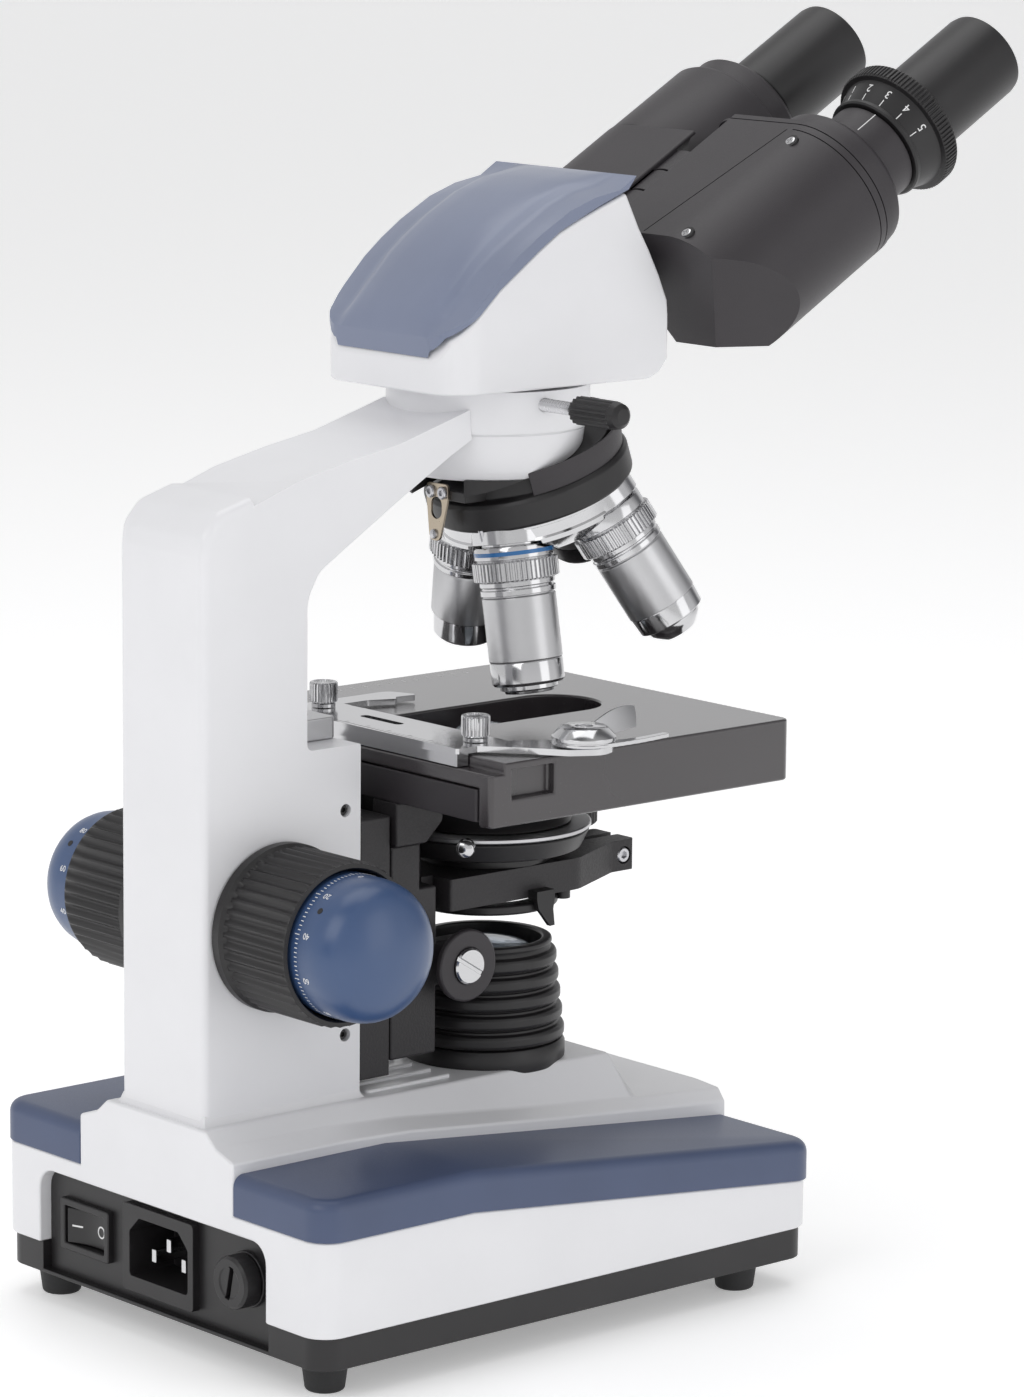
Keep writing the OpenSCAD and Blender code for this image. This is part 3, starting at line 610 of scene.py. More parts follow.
def add_base():
    band = base_band()
    shell = union(band, hump())
    recess = prism(rectangle(*PANEL_X, -10, 41, 6), BACK_Y - PANEL_DEPTH, BACK_Y + 2, "y")
    opening = rod(7, DECK_Z - 3, DECK_Z + 3, 48)
    pocket = block(*POCKET_X, *POCKET_Y, 10, 39)
    shell = combined(shell, recess, pocket, opening)
    make("base_white_shell", shell, WHITE, "stand", ["base_shell"], bevel=1.1, sharp=14)
    make("deck_vent_ridges", vent_ridges(), WHITE, "stand", bevel=0.7)
    for name, side in (("base_pad_left", 1), ("base_pad_right", -1)):
        outline = rounded([(PAD_INNER_X, FRONT_Y - PROUD), (HALF_W + PROUD, FRONT_Y - PROUD),
                           (HALF_W + PROUD, BACK_Y), (PAD_INNER_X, BACK_Y)],
                          [0, CORNER_R + PROUD, CORNER_R, 0], 12)
        bm = prism([(side * x, y) for x, y in outline], 0, PAD_THICK)
        bend(bm, PAD_BEND_Y)
        bend(bm, PAD_BEND_Y - 8)
        soften(bm, pad_rim, 3.6, 6)
        for vert in bm.verts:
            vert.co.z += pad_edge(vert.co.y)
        make(name + "_cover", bm, BLUE, "stand", [name], bevel=0.35, sharp=30)
    inset, floor_z = 1.2, low("base_tray").z
    plan = rectangle(-HALF_W + inset, HALF_W - inset, FRONT_Y + inset, BACK_Y - inset,
                     CORNER_R - 1, 12)
    tray = prism(plan, floor_z, SPLIT_Z)
    tools = [block(*PANEL_X, BACK_Y - PANEL_DEPTH, BACK_Y + 3, floor_z + 1.1, 30),
             block(*POCKET_X, *POCKET_Y, floor_z + 3, 30),
             prism(rectangle(-56, 56, -30, 92, 5), 0, floor_z + 0.8)]
    tools += [prism(rectangle(-22, 22, y, y + 3.4, 1.6), 5, 30) for y in range(-14, 32, 9)]
    make("base_tray_moulding", combined(tray, *tools), BLACK, "stand", ["base_tray"], bevel=0.9)
    add_feet()


def pad_rim(middle, edge):
    """True for the upper outer edges of a pad, not for those across its flat top."""
    outer = abs(middle.x) > HALF_W - 15 or abs(middle.y - 31) > 80
    upper = middle.z > PAD_THICK - 0.1 and abs(middle.x) > PAD_INNER_X + 0.1
    return upper and outer and not all(face.normal.z > 0.9 for face in edge.link_faces)


def add_feet():
    top = high("rubber_feet").z
    inset = 7.4
    foot_x = high("rubber_feet").x - inset
    back, front = high("rubber_feet").y - inset, low("rubber_feet").y + inset
    for i, (x, y) in enumerate((x, y) for y in (back, front) for x in (-foot_x, foot_x)):
        profile = [(0, 0), (1.8, 0), (1.8, 2.5), (2.6, 2.5), (2.6, 0), (5.1, 0), (5.7, 0.6),
                   (6.5, top - 2.4), (7.3, top - 2.0), (7.3, top), (0, top)]
        make(f"rubber_foot_{i}", shift(turned(profile, 64), x, y), RUBBER, "stand",
             ["rubber_feet"] if i == 0 else (), bevel=0.3)


def add_rear_panel():
    face_y = BACK_Y - 4.0
    plate = prism(rectangle(-50.3, 55.8, 9.2, 40.8, [0, 0, 5.8, 5.8]), face_y - 2.5, face_y, "y")
    holes = [prism(rectangle(26.2, 47.6, 19, 32.5), face_y - 5, face_y + 2, "y"),
             prism(rectangle(-14.2, 16.3, 14.5, 37.5), face_y - 5, face_y + 2, "y"),
             laid(rod(7, -4, 4, 48), "y", FUSE_X, face_y, FUSE_Z)]
    make("rear_panel_plate", combined(plate, *holes), BLACK, "stand", ["rear_panel"], bevel=0.4)
    # power inlet: flange, shroud with two cut corners, three blades
    flange = prism(rectangle(-15.5, 17.6, 13, 38.9, 1.4), face_y - 0.2, face_y + 2.4, "y")
    shroud = block(-14, 16.1, face_y - 20, face_y, 14.7, 37.3)
    mouth = [(-13, 17.6), (14.4, 17.6), (14.4, 30.8), (9.9, 35.3), (-8.5, 35.3), (-13, 30.8)]
    body = union(flange, shroud)
    body = combined(body, prism(rounded(mouth, 1.2, 4), face_y - 14, face_y + 5, "y"))
    make("power_inlet_housing", body, BLACK, "stand", ["power_inlet"], bevel=0.45)
    blades = [prism(rectangle(x - 1, x + 1, z - 2, z + 2, 0.3, 3), face_y - 15, face_y - 1.3, "y")
              for x, z in ((-6.3, 24), (7.7, 24), (0.7, 28.5))]
    make("power_inlet_blades", joined(*blades), CHROME, "stand", ["inlet_pins"], bevel=0.4)
    # switch: bezel and rocker with its two marks
    bezel = prism(rectangle(25.2, 48.6, 18, 33.5, 0.8), face_y - 8, face_y + 2, "y")
    pocket = prism(rectangle(27.4, 46.4, 20.2, 31.3, 0.5), face_y - 7, face_y + 5, "y")
    make("switch_frame", combined(bezel, pocket), BLACK, "stand", ["switch_bezel"], bevel=0.5)
    add_rocker()
    # fuse holder and its slotted cap
    ring = turned_ring([(5.4, -10), (8.2, -0.2), (8.2, 1.2), (5.4, 1.2)], 64)
    make("fuse_socket", laid(ring, "y", FUSE_X, face_y, FUSE_Z), BLACK, "stand",
         ["fuse_holder"], bevel=0.3)
    cap = turned([(0, -6), (5.2, -6), (5.2, 1.6), (7.7, 1.6), (7.7, 6.4), (6.9, 7.2), (4.6, 7.2),
                  (4.2, 6.9), (0, 6.9)], 96, radius_at=flutes(36, 0.25, 2.0, 6.5))
    slot_tool = block(-4.9, 4.9, -0.9, 0.9, 5.2, 9)
    cap = moved(combined(cap, slot_tool), rotation("Z", 78))
    make("fuse_cap_slotted", laid(cap, "y", FUSE_X, face_y, FUSE_Z), BLACK, "fuse_cap",
         ["fuse_cap"], bevel=0.25)


def add_rocker():
    place = Matrix.Translation((36.9, BACK_Y - 8, 0)) @ rotation("Z", 7)
    half, crest, dip = 8.6, 5.1, 1.4
    outline = [(-half, -1.5), (half, -1.5), (half, crest)]
    outline += [(half - 2 * half * i / 10, crest - dip * math.sin(math.pi * i / 10))
                for i in range(1, 10)]
    outline += [(-half, crest)]
    make("switch_rocker", prism(outline, 20.5, 31), BLACK, "rocker", ["rocker"], at=place,
         bevel=0.35)
    lean = rotation("Z", 11.4)
    bar = moved(block(-1.9, 1.9, -0.05, 0.05, -0.25, 0.25),
                Matrix.Translation((5.0, 4.36, 25.8)) @ lean)
    ring = tube(1.4, 1.85, -0.05, 0.05, 40)
    ring = moved(ring, Matrix.Translation((-5.0, 4.36, 25.8)) @ lean.inverted() @ axis_place("y"))
    make("switch_marks", joined(bar, ring), INK, "rocker", at=place)


# ---------------------------------------------------------------- arm and nose

# small set screws in both sides of the arm
ARM_SCREWS = [(side, z) for z in (87.1, 153.1) for side in (-1, 1)]
ARM_SCREW_Y = 69.2


def add_arm():
    back = BACK_Y - 2.6
    profile = [(back, DECK_Z), (back, 231), (back - 0.8, 237.2), (114.6, 243.0), (104, 246.2),
               (86.2, 249.8), (68.1, 253.9), (49.7, 257.2), (31.1, 262.6), (23.6, 264.9),
               (22.7, 256.2), (31, 251.9), (49.6, 241.1), (68, 229.9), (78.9, 223.2),
               (83.3, 215.6), (83.3, 172), (63.7, 172), (63.7, DECK_Z)]
    radii = [0, 12, 7, 8, 20, 20, 20, 20, 20, 0, 0, 12, 20, 20, 8, 12, 2, 0.5, 0]
    body = prism(rounded(profile, radii, 6), -ARM_X, ARM_X, "x")
    soften(body, lambda mid, edge: mid.y > 96 and abs(abs(mid.x) - ARM_X) < 0.1
           and mid.z > DECK_Z + 1, 2.4, 6)
    tools = [laid(rod(7.05, -60, 60, 64), "x", 0, FOCUS_Y, FOCUS_Z),
             block(-13.5, 13.5, 60, 75, 75, 160),
             rod(29.6, 235, 275, 96)]
    tools += [laid(rod(1.9, -5.5, 2, 24), "x", side * ARM_X, ARM_SCREW_Y, z)
              for side, z in ARM_SCREWS]
    make("arm_casting", combined(body, *tools), WHITE, "stand", ["arm"], bevel=0.8, sharp=24)
    # half width, front, back and height of the fillet round the foot of the arm
    rims = [(ARM_X + 1.8, 62.4, back + 1.2, DECK_Z - 0.4),
            (ARM_X + 0.5, 63.2, back + 0.3, DECK_Z + 0.8),
            (ARM_X - 0.3, 64, back - 0.5, DECK_Z + 3.2)]
    foot = loft([[(x * half, y, z) for x, y in rectangle(-1, 1, y0, y1)]
                 for half, y0, y1, z in rims])
    make("arm_foot_fillet", foot, WHITE, "stand", bevel=0.5)
    plugs = [laid(socket_screw(1.7, 1.5), "x" if side > 0 else "-x", side * (ARM_X - 2.6),
                  ARM_SCREW_Y, z) for side, z in ARM_SCREWS]
    make("arm_side_set_screws", joined(*plugs), BLACK, "stand", ["arm_plugs"])
    add_stage_stop()


def add_stage_stop():
    """Pale clamp on the ledge of the arm that stops the stage."""
    outline = rounded([(-9, 64.2), (9, 64.2), (9, 82.6), (-9, 82.6)], 2)
    stop = combined(prism(outline, 172.1, 178.5), shift(rod(2.6, 170, 182), 0, 71))
    make("stage_stop_block", stop, SATIN, "stand", bevel=0.5)
    screw = shift(socket_screw(2.4, 2.2), 0, 71, 176.8)
    make("stage_stop_screw", screw, CHROME, "stand", bevel=0.2)


def seat_tool():
    """Everything below the sloped seat of the turret, as a cutting block."""
    return moved(block(-60, 60, -60, 60, -120, -37.5), TURRET)


def add_nose():
    profile = [(22.2, 269.8), (30, 269.8), (30, 259.0), (29.4, 257.6), (28.4, 256.8), (28.0, 253),
               (27.2, 249.6), (25.8, 246.2), (24.2, 244.0), (22.6, 243.0), (11, 242.8), (11, 262),
               (22.2, 262)]
    casting = combined(turned_ring(profile, 128), seat_tool())
    hole = laid(rod(2.05, 20, 40, 24), "-x", 0, 4, low("head_lock").z + 4.2)
    seat = combined(tube(11, 24, 236, 243.4), seat_tool(), block(-13, 7, 11.5, 32, 228, 250))
    make("turret_seat_block", seat, BLACK, "stand", bevel=0.3)
    make("nose_casting_collar", combined(casting, hole), WHITE, "stand", ["nose_casting"],
         bevel=0.9, sharp=25)


def add_head_lock():
    centre_z = (low("head_lock").z + high("head_lock").z) / 2
    place = axis_place("-x", 0, 4, centre_z)
    thread = [point for i in range(42)
              for point in ((1.95, 22.6 + i * 0.5), (1.62, 22.85 + i * 0.5))]
    shaft = turned([(0, 22.6), *thread, (1.6, 43.8), (0, 43.8)], 32)
    make("head_lock_thread", shaft, STEEL, "head_lock", ["head_lock"], at=place)
    knob = turned([(0, 43.4), (3.0, 43.4), (3.4, 44.2), (4.2, 44.6), (4.2, 60.2), (4.1, 60.6),
                   (3.6, 62.6), (2.3, 63.7), (0, 64)], 16 * 12,
                  radius_at=flutes(16, 0.55, 44.3, 60.3, 1.0))
    make("head_lock_grip", knob, BLACK, "head_lock", at=place, bevel=0.15)


# ---------------------------------------------------------------- turret

# back face of the block that carries the click spring
DETENT_Y = 18.2


def add_turret():
    carrier = turned_ring([(4.1, -37.6), (27, -37.6), (28.3, -42.6), (30.2, -43.4), (31, -44.6),
                           (31, -51.4), (30.4, -52.2), (29.5, -52.2), (29.5, -50.2),
                           (4.1, -50.2)], 160)
    light = shift(rod(10, -60, -30, 48), 0, 15.4)
    make("turret_carrier_ring", combined(carrier, light), BLACK, "stand",
         ["turret_carrier"], at=TURRET, bevel=0.35)
    lug = combined(block(-11.5, 5.2, 9, DETENT_Y, 236.2, 241.2), seat_tool(), how="INTERSECT")
    make("detent_block", lug, BLACK, "stand", bevel=0.35)
    cover_line = [(28.4, -43.3), (28.6, -39.4), (29.6, -36.2), (30.8, -35.6), (30.6, -38.6),
                  (29.9, -43.3)]
    cover = turned_ring(cover_line, 160)
    cover = combined(cover, prism([(0, 0), (-48, 36.2), (-48, 60), (60, 60), (60, 0)], -60, -20))
    make("turret_front_cover", cover, COAT, "stand", ["turret_cover"], at=TURRET, bevel=0.2)
    pin = rod(0.9, -56, -51, 24)
    pin = moved(pin, rotation("Z", 108) @ Matrix.Translation((30.5, 0, 0)))
    make("turret_stop_pin", pin, STEEL, "stand", at=TURRET, bevel=0.2)
    add_detent()
    plate = turned([(0, -50.5), (29.2, -50.5), (29.2, -53.2), (28.4, -53.6), (28.4, -56.6),
                    (28.9, -57.2), (28.9, -58.6), (27.0, -60.4), (21.8, -64), (0, -64)], 160)
    socket = [(0, -80), (13.2, -80), (13.2, -63), (10.05, -63), (10.05, -49), (0, -49)]
    plate = combined(plate, *(moved(turned(socket, 64), TURRET.inverted() @ objective_place(k))
                              for k in range(4)))
    make("turret_turning_plate", plate, CHROME, "turret", ["turret"], at=TURRET, bevel=0.25)
    collar = [(10.1, -62.9), (12.2, -62.9), (12.2, -58.6), (11.6, -57.8), (10.1, -57.8)]
    collars = [moved(turned_ring(collar, 72), objective_place(k)) for k in range(4)]
    make("turret_socket_collars", joined(*collars), CHROME, "turret", bevel=0.2)


def add_detent():
    """Bronze leaf spring hanging on its block, with two screws, an oval hole and a rivet."""
    outline = rounded([(5.0, 241), (-4.5, 241), (-4.4, 236.6), (-0.9, 224), (3.6, 224),
                       (5.1, 236.6)], [1.2, 1.2, 3, 2, 2, 3], 5)
    leaf = prism(outline, DETENT_Y + 0.05, DETENT_Y + 0.85, "y")
    hole = arc(2.4, 0, 180, 10, (0.6, 234.6)) + arc(2.4, 180, 360, 10, (0.6, 232.9))
    oval = prism(hole, 15, 22, "y")
    make("detent_leaf_spring", combined(leaf, oval), BRONZE, "stand", ["detent_spring"],
         bevel=0.12)
    screws = [laid(socket_screw(1.9, 1.05), "y", x, DETENT_Y + 0.8, 238.4)
              for x in (-2.4, 2.9)]
    rivet = moved(turned([(0, 0), (1.5, 0), (1.4, 0.6), (0.8, 1.0), (0, 1.05)], 32),
                  axis_place("y", 1.5, DETENT_Y + 0.8, 225.9))
    make("detent_spring_screws", joined(*screws, rivet), STEEL, "stand", ["detent_screws"])


def knurl(count, depth, low_h, high_h):
    """Radius rule for upright knurling with square-cut teeth."""
    def rule(r, h, angle):
        if not low_h <= h <= high_h:
            return r
        phase = (angle * count / (2 * math.pi)) % 1.0
        return r - depth if phase < 0.42 else r
    return rule


def objective_parts(k, node, profile, band=None):
    """One objective: bright rings with a knurl, then its own (material, points) parts."""
    place = objective_place(k)
    top = [(0, -58.6), (9.9, -58.6), (9.9, -63.6), (11.6, -63.8), (11.8, -64.2), (11.8, -67.4),
           (11.2, -67.8), (11.4, -68.1), (12.7, -68.4), (12.7, -73.7), (11.7, -74.1)]
    knurled = turned(top + [(11.2, -74.3), (0, -74.3)], 54 * 8,
                     radius_at=knurl(54, 0.75, -73.8, -68.3))
    make(node + "_knurled_ring", knurled, CHROME, "turret", [node], at=place, bevel=0.1)
    for i, (material, points) in enumerate(profile):
        make(f"{node}_barrel_{i}", turned(points), material, "turret", at=place, bevel=0.18)
    if band is not None:
        stripe = tube(11.78, 11.86, -65.2, -66.4)
        make(node + "_colour_band", stripe, band, "turret", at=place)


def add_objectives():
    long_tip = [(0, -98), (10.6, -98), (10.8, -98.4), (10.8, -104.2), (10.2, -105), (8.6, -105),
                (8.6, -106.4), (7.4, -106.6), (7.2, -107.5), (5.4, -107.7), (3.2, -107.2),
                (0, -106.6)]
    neck = [(0, -74.2), (11.2, -74.2), (11.2, -75.6), (10.7, -75.8), (10.7, -76.4), (11.2, -76.6),
            (11.2, -78.2), (0, -78.2)]
    barrel = [(0, -78.1), (10.5, -78.1), (10.5, -78.6), (10.95, -79.0), (10.9, -97.6),
              (10.5, -98.1), (0, -98.1)]
    objective_parts(0, "objective_40", [(CHROME, neck), (SATIN, barrel), (CHROME, long_tip)],
                    BLUE_INK)
    steep = [(0, -97), (10.6, -97), (10.7, -97.5), (10.4, -102.6), (8.6, -103.2), (8.2, -104.6),
             (7.2, -105.8), (5.2, -107.6), (0, -107.2)]
    objective_parts(1, "objective_100",
                    [(CHROME, neck), (SATIN, [(r, max(h, -97.1)) for r, h in barrel]),
                     (CHROME, steep)])
    short = [(0, -74.2), (11.2, -74.2), (11.3, -75), (11.3, -80.4), (11.0, -80.8), (0, -80.8)]
    rim = [(0, -80.7), (11.4, -80.7), (11.4, -85.6), (10.6, -86.9), (8.6, -86.9), (8.2, -84.2),
           (0, -84.2)]
    objective_parts(2, "objective_4", [(SATIN, short), (BLACK, rim)])
    middle = [(0, -78.1), (10.5, -78.1), (10.9, -79), (10.8, -94.4), (10.4, -94.8), (0, -94.8)]
    end = [(0, -94.7), (9.9, -94.7), (9.9, -95.4), (9.6, -101.6), (8.8, -102.4), (6.0, -102.4),
           (5.4, -100.6), (0, -100.4)]
    objective_parts(3, "objective_10", [(CHROME, neck), (SATIN, middle), (CHROME, end)])


# ---------------------------------------------------------------- head

HEAD_X = high("head_shell").x


def add_head():
    bottom = low("head_shell").z + 8.3
    side = [(40.0, bottom), (40.0, 280.3), (37.2, 286.4), (30, 293.3), (22.6, 300.2),
            (15.1, 305.4), (7.5, 310.7), (0, 315.5), (-7.7, 318.8), (-15.4, 321.8),
            (-25.8, 325.6), (-31.1, 315.2), (-35.2, 308.5), (-39.3, 300.9), (-42.6, 293.4),
            (-43.0, 289), (-43.0, 276), (-39.8, 272.2), (-36, bottom)]
    body = prism(side, -HEAD_X, HEAD_X, "x")
    plan = prism(rectangle(-HEAD_X, HEAD_X, -60, 40, [0, 0, 11, 11], 8), 200, 400)
    body = combined(body, plan, how="INTERSECT")
    spigot = tube(18, 22, 262.5, bottom + 1)
    recess = moved(shift(rod(16.02, 35.4, 70, 64), 0, HINGE_B), TUBE)
    body = combined(body, recess)
    make("head_white_shell", body, WHITE, "head", ["head_shell"], bevel=1.6, segments=5, sharp=22)
    make("head_spigot", spigot, SATIN, "head", bevel=0.3)
    add_head_cap()


def cap_rise(x):
    """How far the top of the cap stands above its centre line, across the head."""
    crown = [(0, 0.3), (10, 0.1), (16, -0.5), (18.5, -1.2), (20.5, -2.6), (22, -3.0), (27, -3.3),
             (31.6, -3.9)]
    x = min(abs(x), crown[-1][0])
    for (x0, r0), (x1, r1) in zip(crown, crown[1:]):
        if x <= x1:
            return r0 + (r1 - r0) * (x - x0) / (x1 - x0)
    return crown[-1][1]


def add_head_cap():
    lower = [(40.4, 279.0), (40.2, 283.4), (38.6, 287.2), (29.8, 293.7), (22.4, 300.5),
             (14.8, 305.9), (7.4, 311.1), (-0.2, 316.0), (-7.8, 319.3), (-15.2, 322.4),
             (-26.4, 326.6), (-29.4, 330.4)]
    upper = [(-22, 330.2), (-12, 328.4), (-1.8, 324.8), (9.7, 318.4), (17.3, 313.2), (24, 307.8),
             (31.2, 300.4), (36.6, 294.6), (39.4, 290.4), (40.4, 286.8)]
    lift = [(0.30, 0.95), (0.34, 0.94), (0.45, 0.89), (0.53, 0.85), (0.60, 0.80), (0.66, 0.75),
            (0.70, 0.71), (0.74, 0.67), (0.4, 0.3), (0, 0)]
    wide = HEAD_X + 0.2
    sections = []
    for i in range(41):
        x = -wide + 2 * wide * i / 40
        rise = cap_rise(x)
        section = [(x, y, z) for y, z in lower]
        section += [(x, y + dy * rise, z + dz * rise) for (y, z), (dy, dz) in zip(upper, lift)]
        sections.append(section)
    plan = prism(rectangle(-wide, wide, -60, 40.3, [0, 0, 11, 11], 8), 200, 400)
    cap = combined(loft(sections), plan, how="INTERSECT")
    # the cap's lighter blue holds a painted reflection of the room above
    make("head_blue_cap", cap, CAP_BLUE_SHEEN, "head", ["head_cap"], bevel=1.0, segments=4, sharp=30)


# ---------------------------------------------------------------- eyepiece tubes

HOUSING_R = 24.0


def add_hinge():
    axle = turned([(0, 20), (6, 20), (6, 103.4), (8.4, 103.4), (8.4, 104.6), (7.8, 105.2),
                   (0, 105.2)], 64)
    make("tube_hinge_axle", shift(axle, 0, HINGE_B), COAT, "head", ["hinge_axle"], at=TUBE,
         bevel=0.2)
    flange = turned_ring([(6, 35.4), (16, 35.4), (16, 38.4), (15.2, 39), (6, 39)])
    make("tube_hinge_flange", shift(flange, 0, HINGE_B), COAT, "head", at=TUBE, bevel=0.2)


def housing_outline():
    """Prism housing seen along the tube: round outside, flat top, slanted inside wall."""
    r, top = HOUSING_R, TUBE_B + HOUSING_R
    outline = arc(r, 270, 90, 40, (-HALF_IPD, TUBE_B))
    inner = rounded([(-3.9, top), (-3.9, HINGE_B), (-7.5, HINGE_B - 4), (-20.5, TUBE_B - r),
                     (-33, TUBE_B - r + 0.01), (-33, top - 0.01)], [0.6, 0, 0, 3, 0, 0], 5)
    return outline[:-1] + [(-HALF_IPD, top)] + [p for p in inner if p[0] > -32.9]


def housing_solid(start, end, first, second):
    """Prism housing from start to end of the tube, with hinge knuckles at first and second."""
    body = prism(housing_outline(), start, end)
    knuckles = [shift(tube(6.05, 10.4, a, a + 10, 64), 0, HINGE_B) for a in (first, second)]
    tools = [shift(rod(6.05, start - 1, end + 1, 64), 0, HINGE_B)]
    gaps = [(start - 1, first - 0.4), (first + 10.4, first + 21.2), (second + 10.4, second + 21.2)]
    tools += [shift(rod(10.9, a, b, 64), 0, HINGE_B) for a, b in gaps]
    facet = block(-70, 70, -70, 70, -90, 0)
    place = Matrix.Translation((-55.3, -24, 51.2)) @ rotation("Z", 24.6)
    tools.append(moved(facet, place @ rotation("Y", 50)))
    chin = Matrix.Translation((-33, -48.1, 40.4)) @ rotation("X", 29.25)
    tools.append(moved(block(-60, 60, -80, 0, -60, 60), chin))
    body = union(body, *knuckles)
    return combined(body, *tools)


def add_near_tube():
    solid = combined(housing_solid(40.4, 103, 41, 62.6), *cover_seams())
    make("near_prism_housing", solid, COAT, "tube_near", ["housing_near"], at=TUBE, bevel=0.55,
         sharp=24)
    neck = turned_ring([(11.7, 100), (23.2, 100), (23.8, 103), (23.2, 107.6), (21.6, 109.4),
                        (16.2, 110.2), (15.2, 111), (15.2, 124), (14.15, 124), (14.15, 138.4),
                        (11.7, 138.4)], 128)
    make("near_tube_neck", shift(neck, -HALF_IPD, TUBE_B), COAT, "tube_near", at=TUBE, bevel=0.4)
    add_cover_screws()
    wrapped = wrap(tick(0.14, 4.2, 0.06), lambda h: 15.21, 119.6, math.radians(120))
    make("dioptre_index_line", shift(wrapped, -HALF_IPD, TUBE_B), INK, "tube_near", at=TUBE)
    add_dioptre()


def cover_seams():
    """Narrow grooves round the screwed cover and behind the front rim of the near housing."""
    top = TUBE_B + HOUSING_R
    ends = (Vector((-22.7, 41.5)), Vector((-31.7, 97.8)))
    along = ends[1] - ends[0]
    line = block(-0.22, 0.22, -0.45, 1, 0, along.length)
    turn = Matrix.Rotation(math.atan2(along.x, along.y), 4, "Y")
    tools = [moved(line, Matrix.Translation((ends[0].x, top, ends[0].y)) @ turn)]
    middle = (-HALF_IPD, TUBE_B)
    for a, end in ((97.8, 92), (100.6, 90)):
        ring = arc(25, end, 268, 40, middle) + arc(23.55, 268, end, 40, middle)
        tools.append(prism(ring, a, a + 0.4))
    tools.append(block(-33.2, -3, top - 0.45, top + 1, 100.6, 101.0))
    return tools


def add_cover_screws():
    screws, sinks = [], []
    for x, a in ((-37.6, 92.6), (-38.6, 43.6)):
        b = TUBE_B + math.sqrt(HOUSING_R ** 2 - (x + HALF_IPD) ** 2)
        place = Matrix.Translation((x, b, a)) @ Matrix.Rotation(-math.pi / 2 - 0.2, 4, "X")
        sinks.append(moved(rod(2.5, -1, 0.1, 40), place))
        screws.append(moved(socket_screw(1.6, 0.4, cross=True), place))
    make("near_cover_sinks", joined(*sinks), BLACK, "tube_near", at=TUBE)
    make("near_cover_screws", joined(*screws), CHROME, "tube_near", at=TUBE)


def dioptre_radius(h):
    """Radius of the cone that carries the dioptre scale."""
    return 16.2 + (18.7 - 16.2) * min(max((h - 126.3) / 7.1, 0), 1)


def add_dioptre():
    knurled = turned_ring([(14.22, 124.4), (16.2, 124.4), (16.7, 124.9), (16.7, 126.0),
                           (16.2, 126.3), (18.7, 133.4), (20.3, 133.6), (20.8, 134.2),
                           (20.8, 138.4), (20.4, 139.0), (18.8, 140.0), (14.22, 140.0)], 96 * 6,
                          knurl(96, 0.5, 134.1, 138.5))
    make("dioptre_scale_ring", shift(knurled, -HALF_IPD, TUBE_B), BLACK, "dioptre",
         ["dioptre_ring"], at=TUBE, bevel=0.12)
    marks = []
    for i in range(11):
        digit = abs(i - 5)
        angle = math.radians(46.5 + 23.5 * (i - 5))
        marks.append(wrap(tick(0.14, 1.1, 0.06), dioptre_radius, 127.6, angle))
        number = moved(lettering(str(digit), 3.6, 0.06), rotation("Z", 180))
        marks.append(wrap(number, dioptre_radius, 130.9, angle))
    bm = shift(joined(*marks), -HALF_IPD, TUBE_B)
    make("dioptre_scale_marks", bm, INK, "dioptre", at=TUBE)


def add_far_tube():
    solid = moved(housing_solid(40.4, 92.7, 51.8, 73.4), Matrix.Scale(-1, 4, (1, 0, 0)))
    make("far_prism_housing", solid, COAT, "tube_far", ["housing_far"], at=TUBE, bevel=0.55,
         sharp=24)
    barrel = turned_ring([(11.7, 90), (23.2, 90), (23.2, 92.6), (23.8, 93.0), (23.7, 125.8),
                          (22.8, 127.6), (21.2, 128.2), (21.0, 129.0), (21.0, 134.8),
                          (19.4, 136.6), (15, 137.4), (14.6, 138.6), (11.7, 138.6)], 128)
    make("far_tube_barrel", shift(barrel, HALF_IPD, TUBE_B), COAT, "tube_far", at=TUBE, bevel=0.4)


def add_eyepieces():
    start = 140.4
    for node, body, x in (("eyepiece_near", "ocular_near", -HALF_IPD),
                          ("eyepiece_far", "ocular_far", HALF_IPD)):
        shell = turned_ring([(9.8, start - 30), (11.6, start - 30), (11.6, start), (13.6, start),
                             (14.0, start + 0.5), (14.0, start + 35.4), (13.6, start + 37.4),
                             (12.3, start + 38.3), (11.2, start + 38.3), (8.6, start + 36.2),
                             (8.2, start + 34), (9.8, start + 30)], 128)
        make(node + "_barrel", shift(shell, x, TUBE_B), BLACK, body, [node], at=TUBE, bevel=0.2)
        lens = turned([(0, start + 34.6), (5, start + 34.4), (8.15, start + 33.8),
                       (8.15, start + 31), (0, start + 31)], 64)
        make(node + "_lens", shift(lens, x, TUBE_B), GLASS, body, at=TUBE)


# ---------------------------------------------------------------- focus

# radius at which the marks lie on the fine focus dials
DIAL_R = 20.62


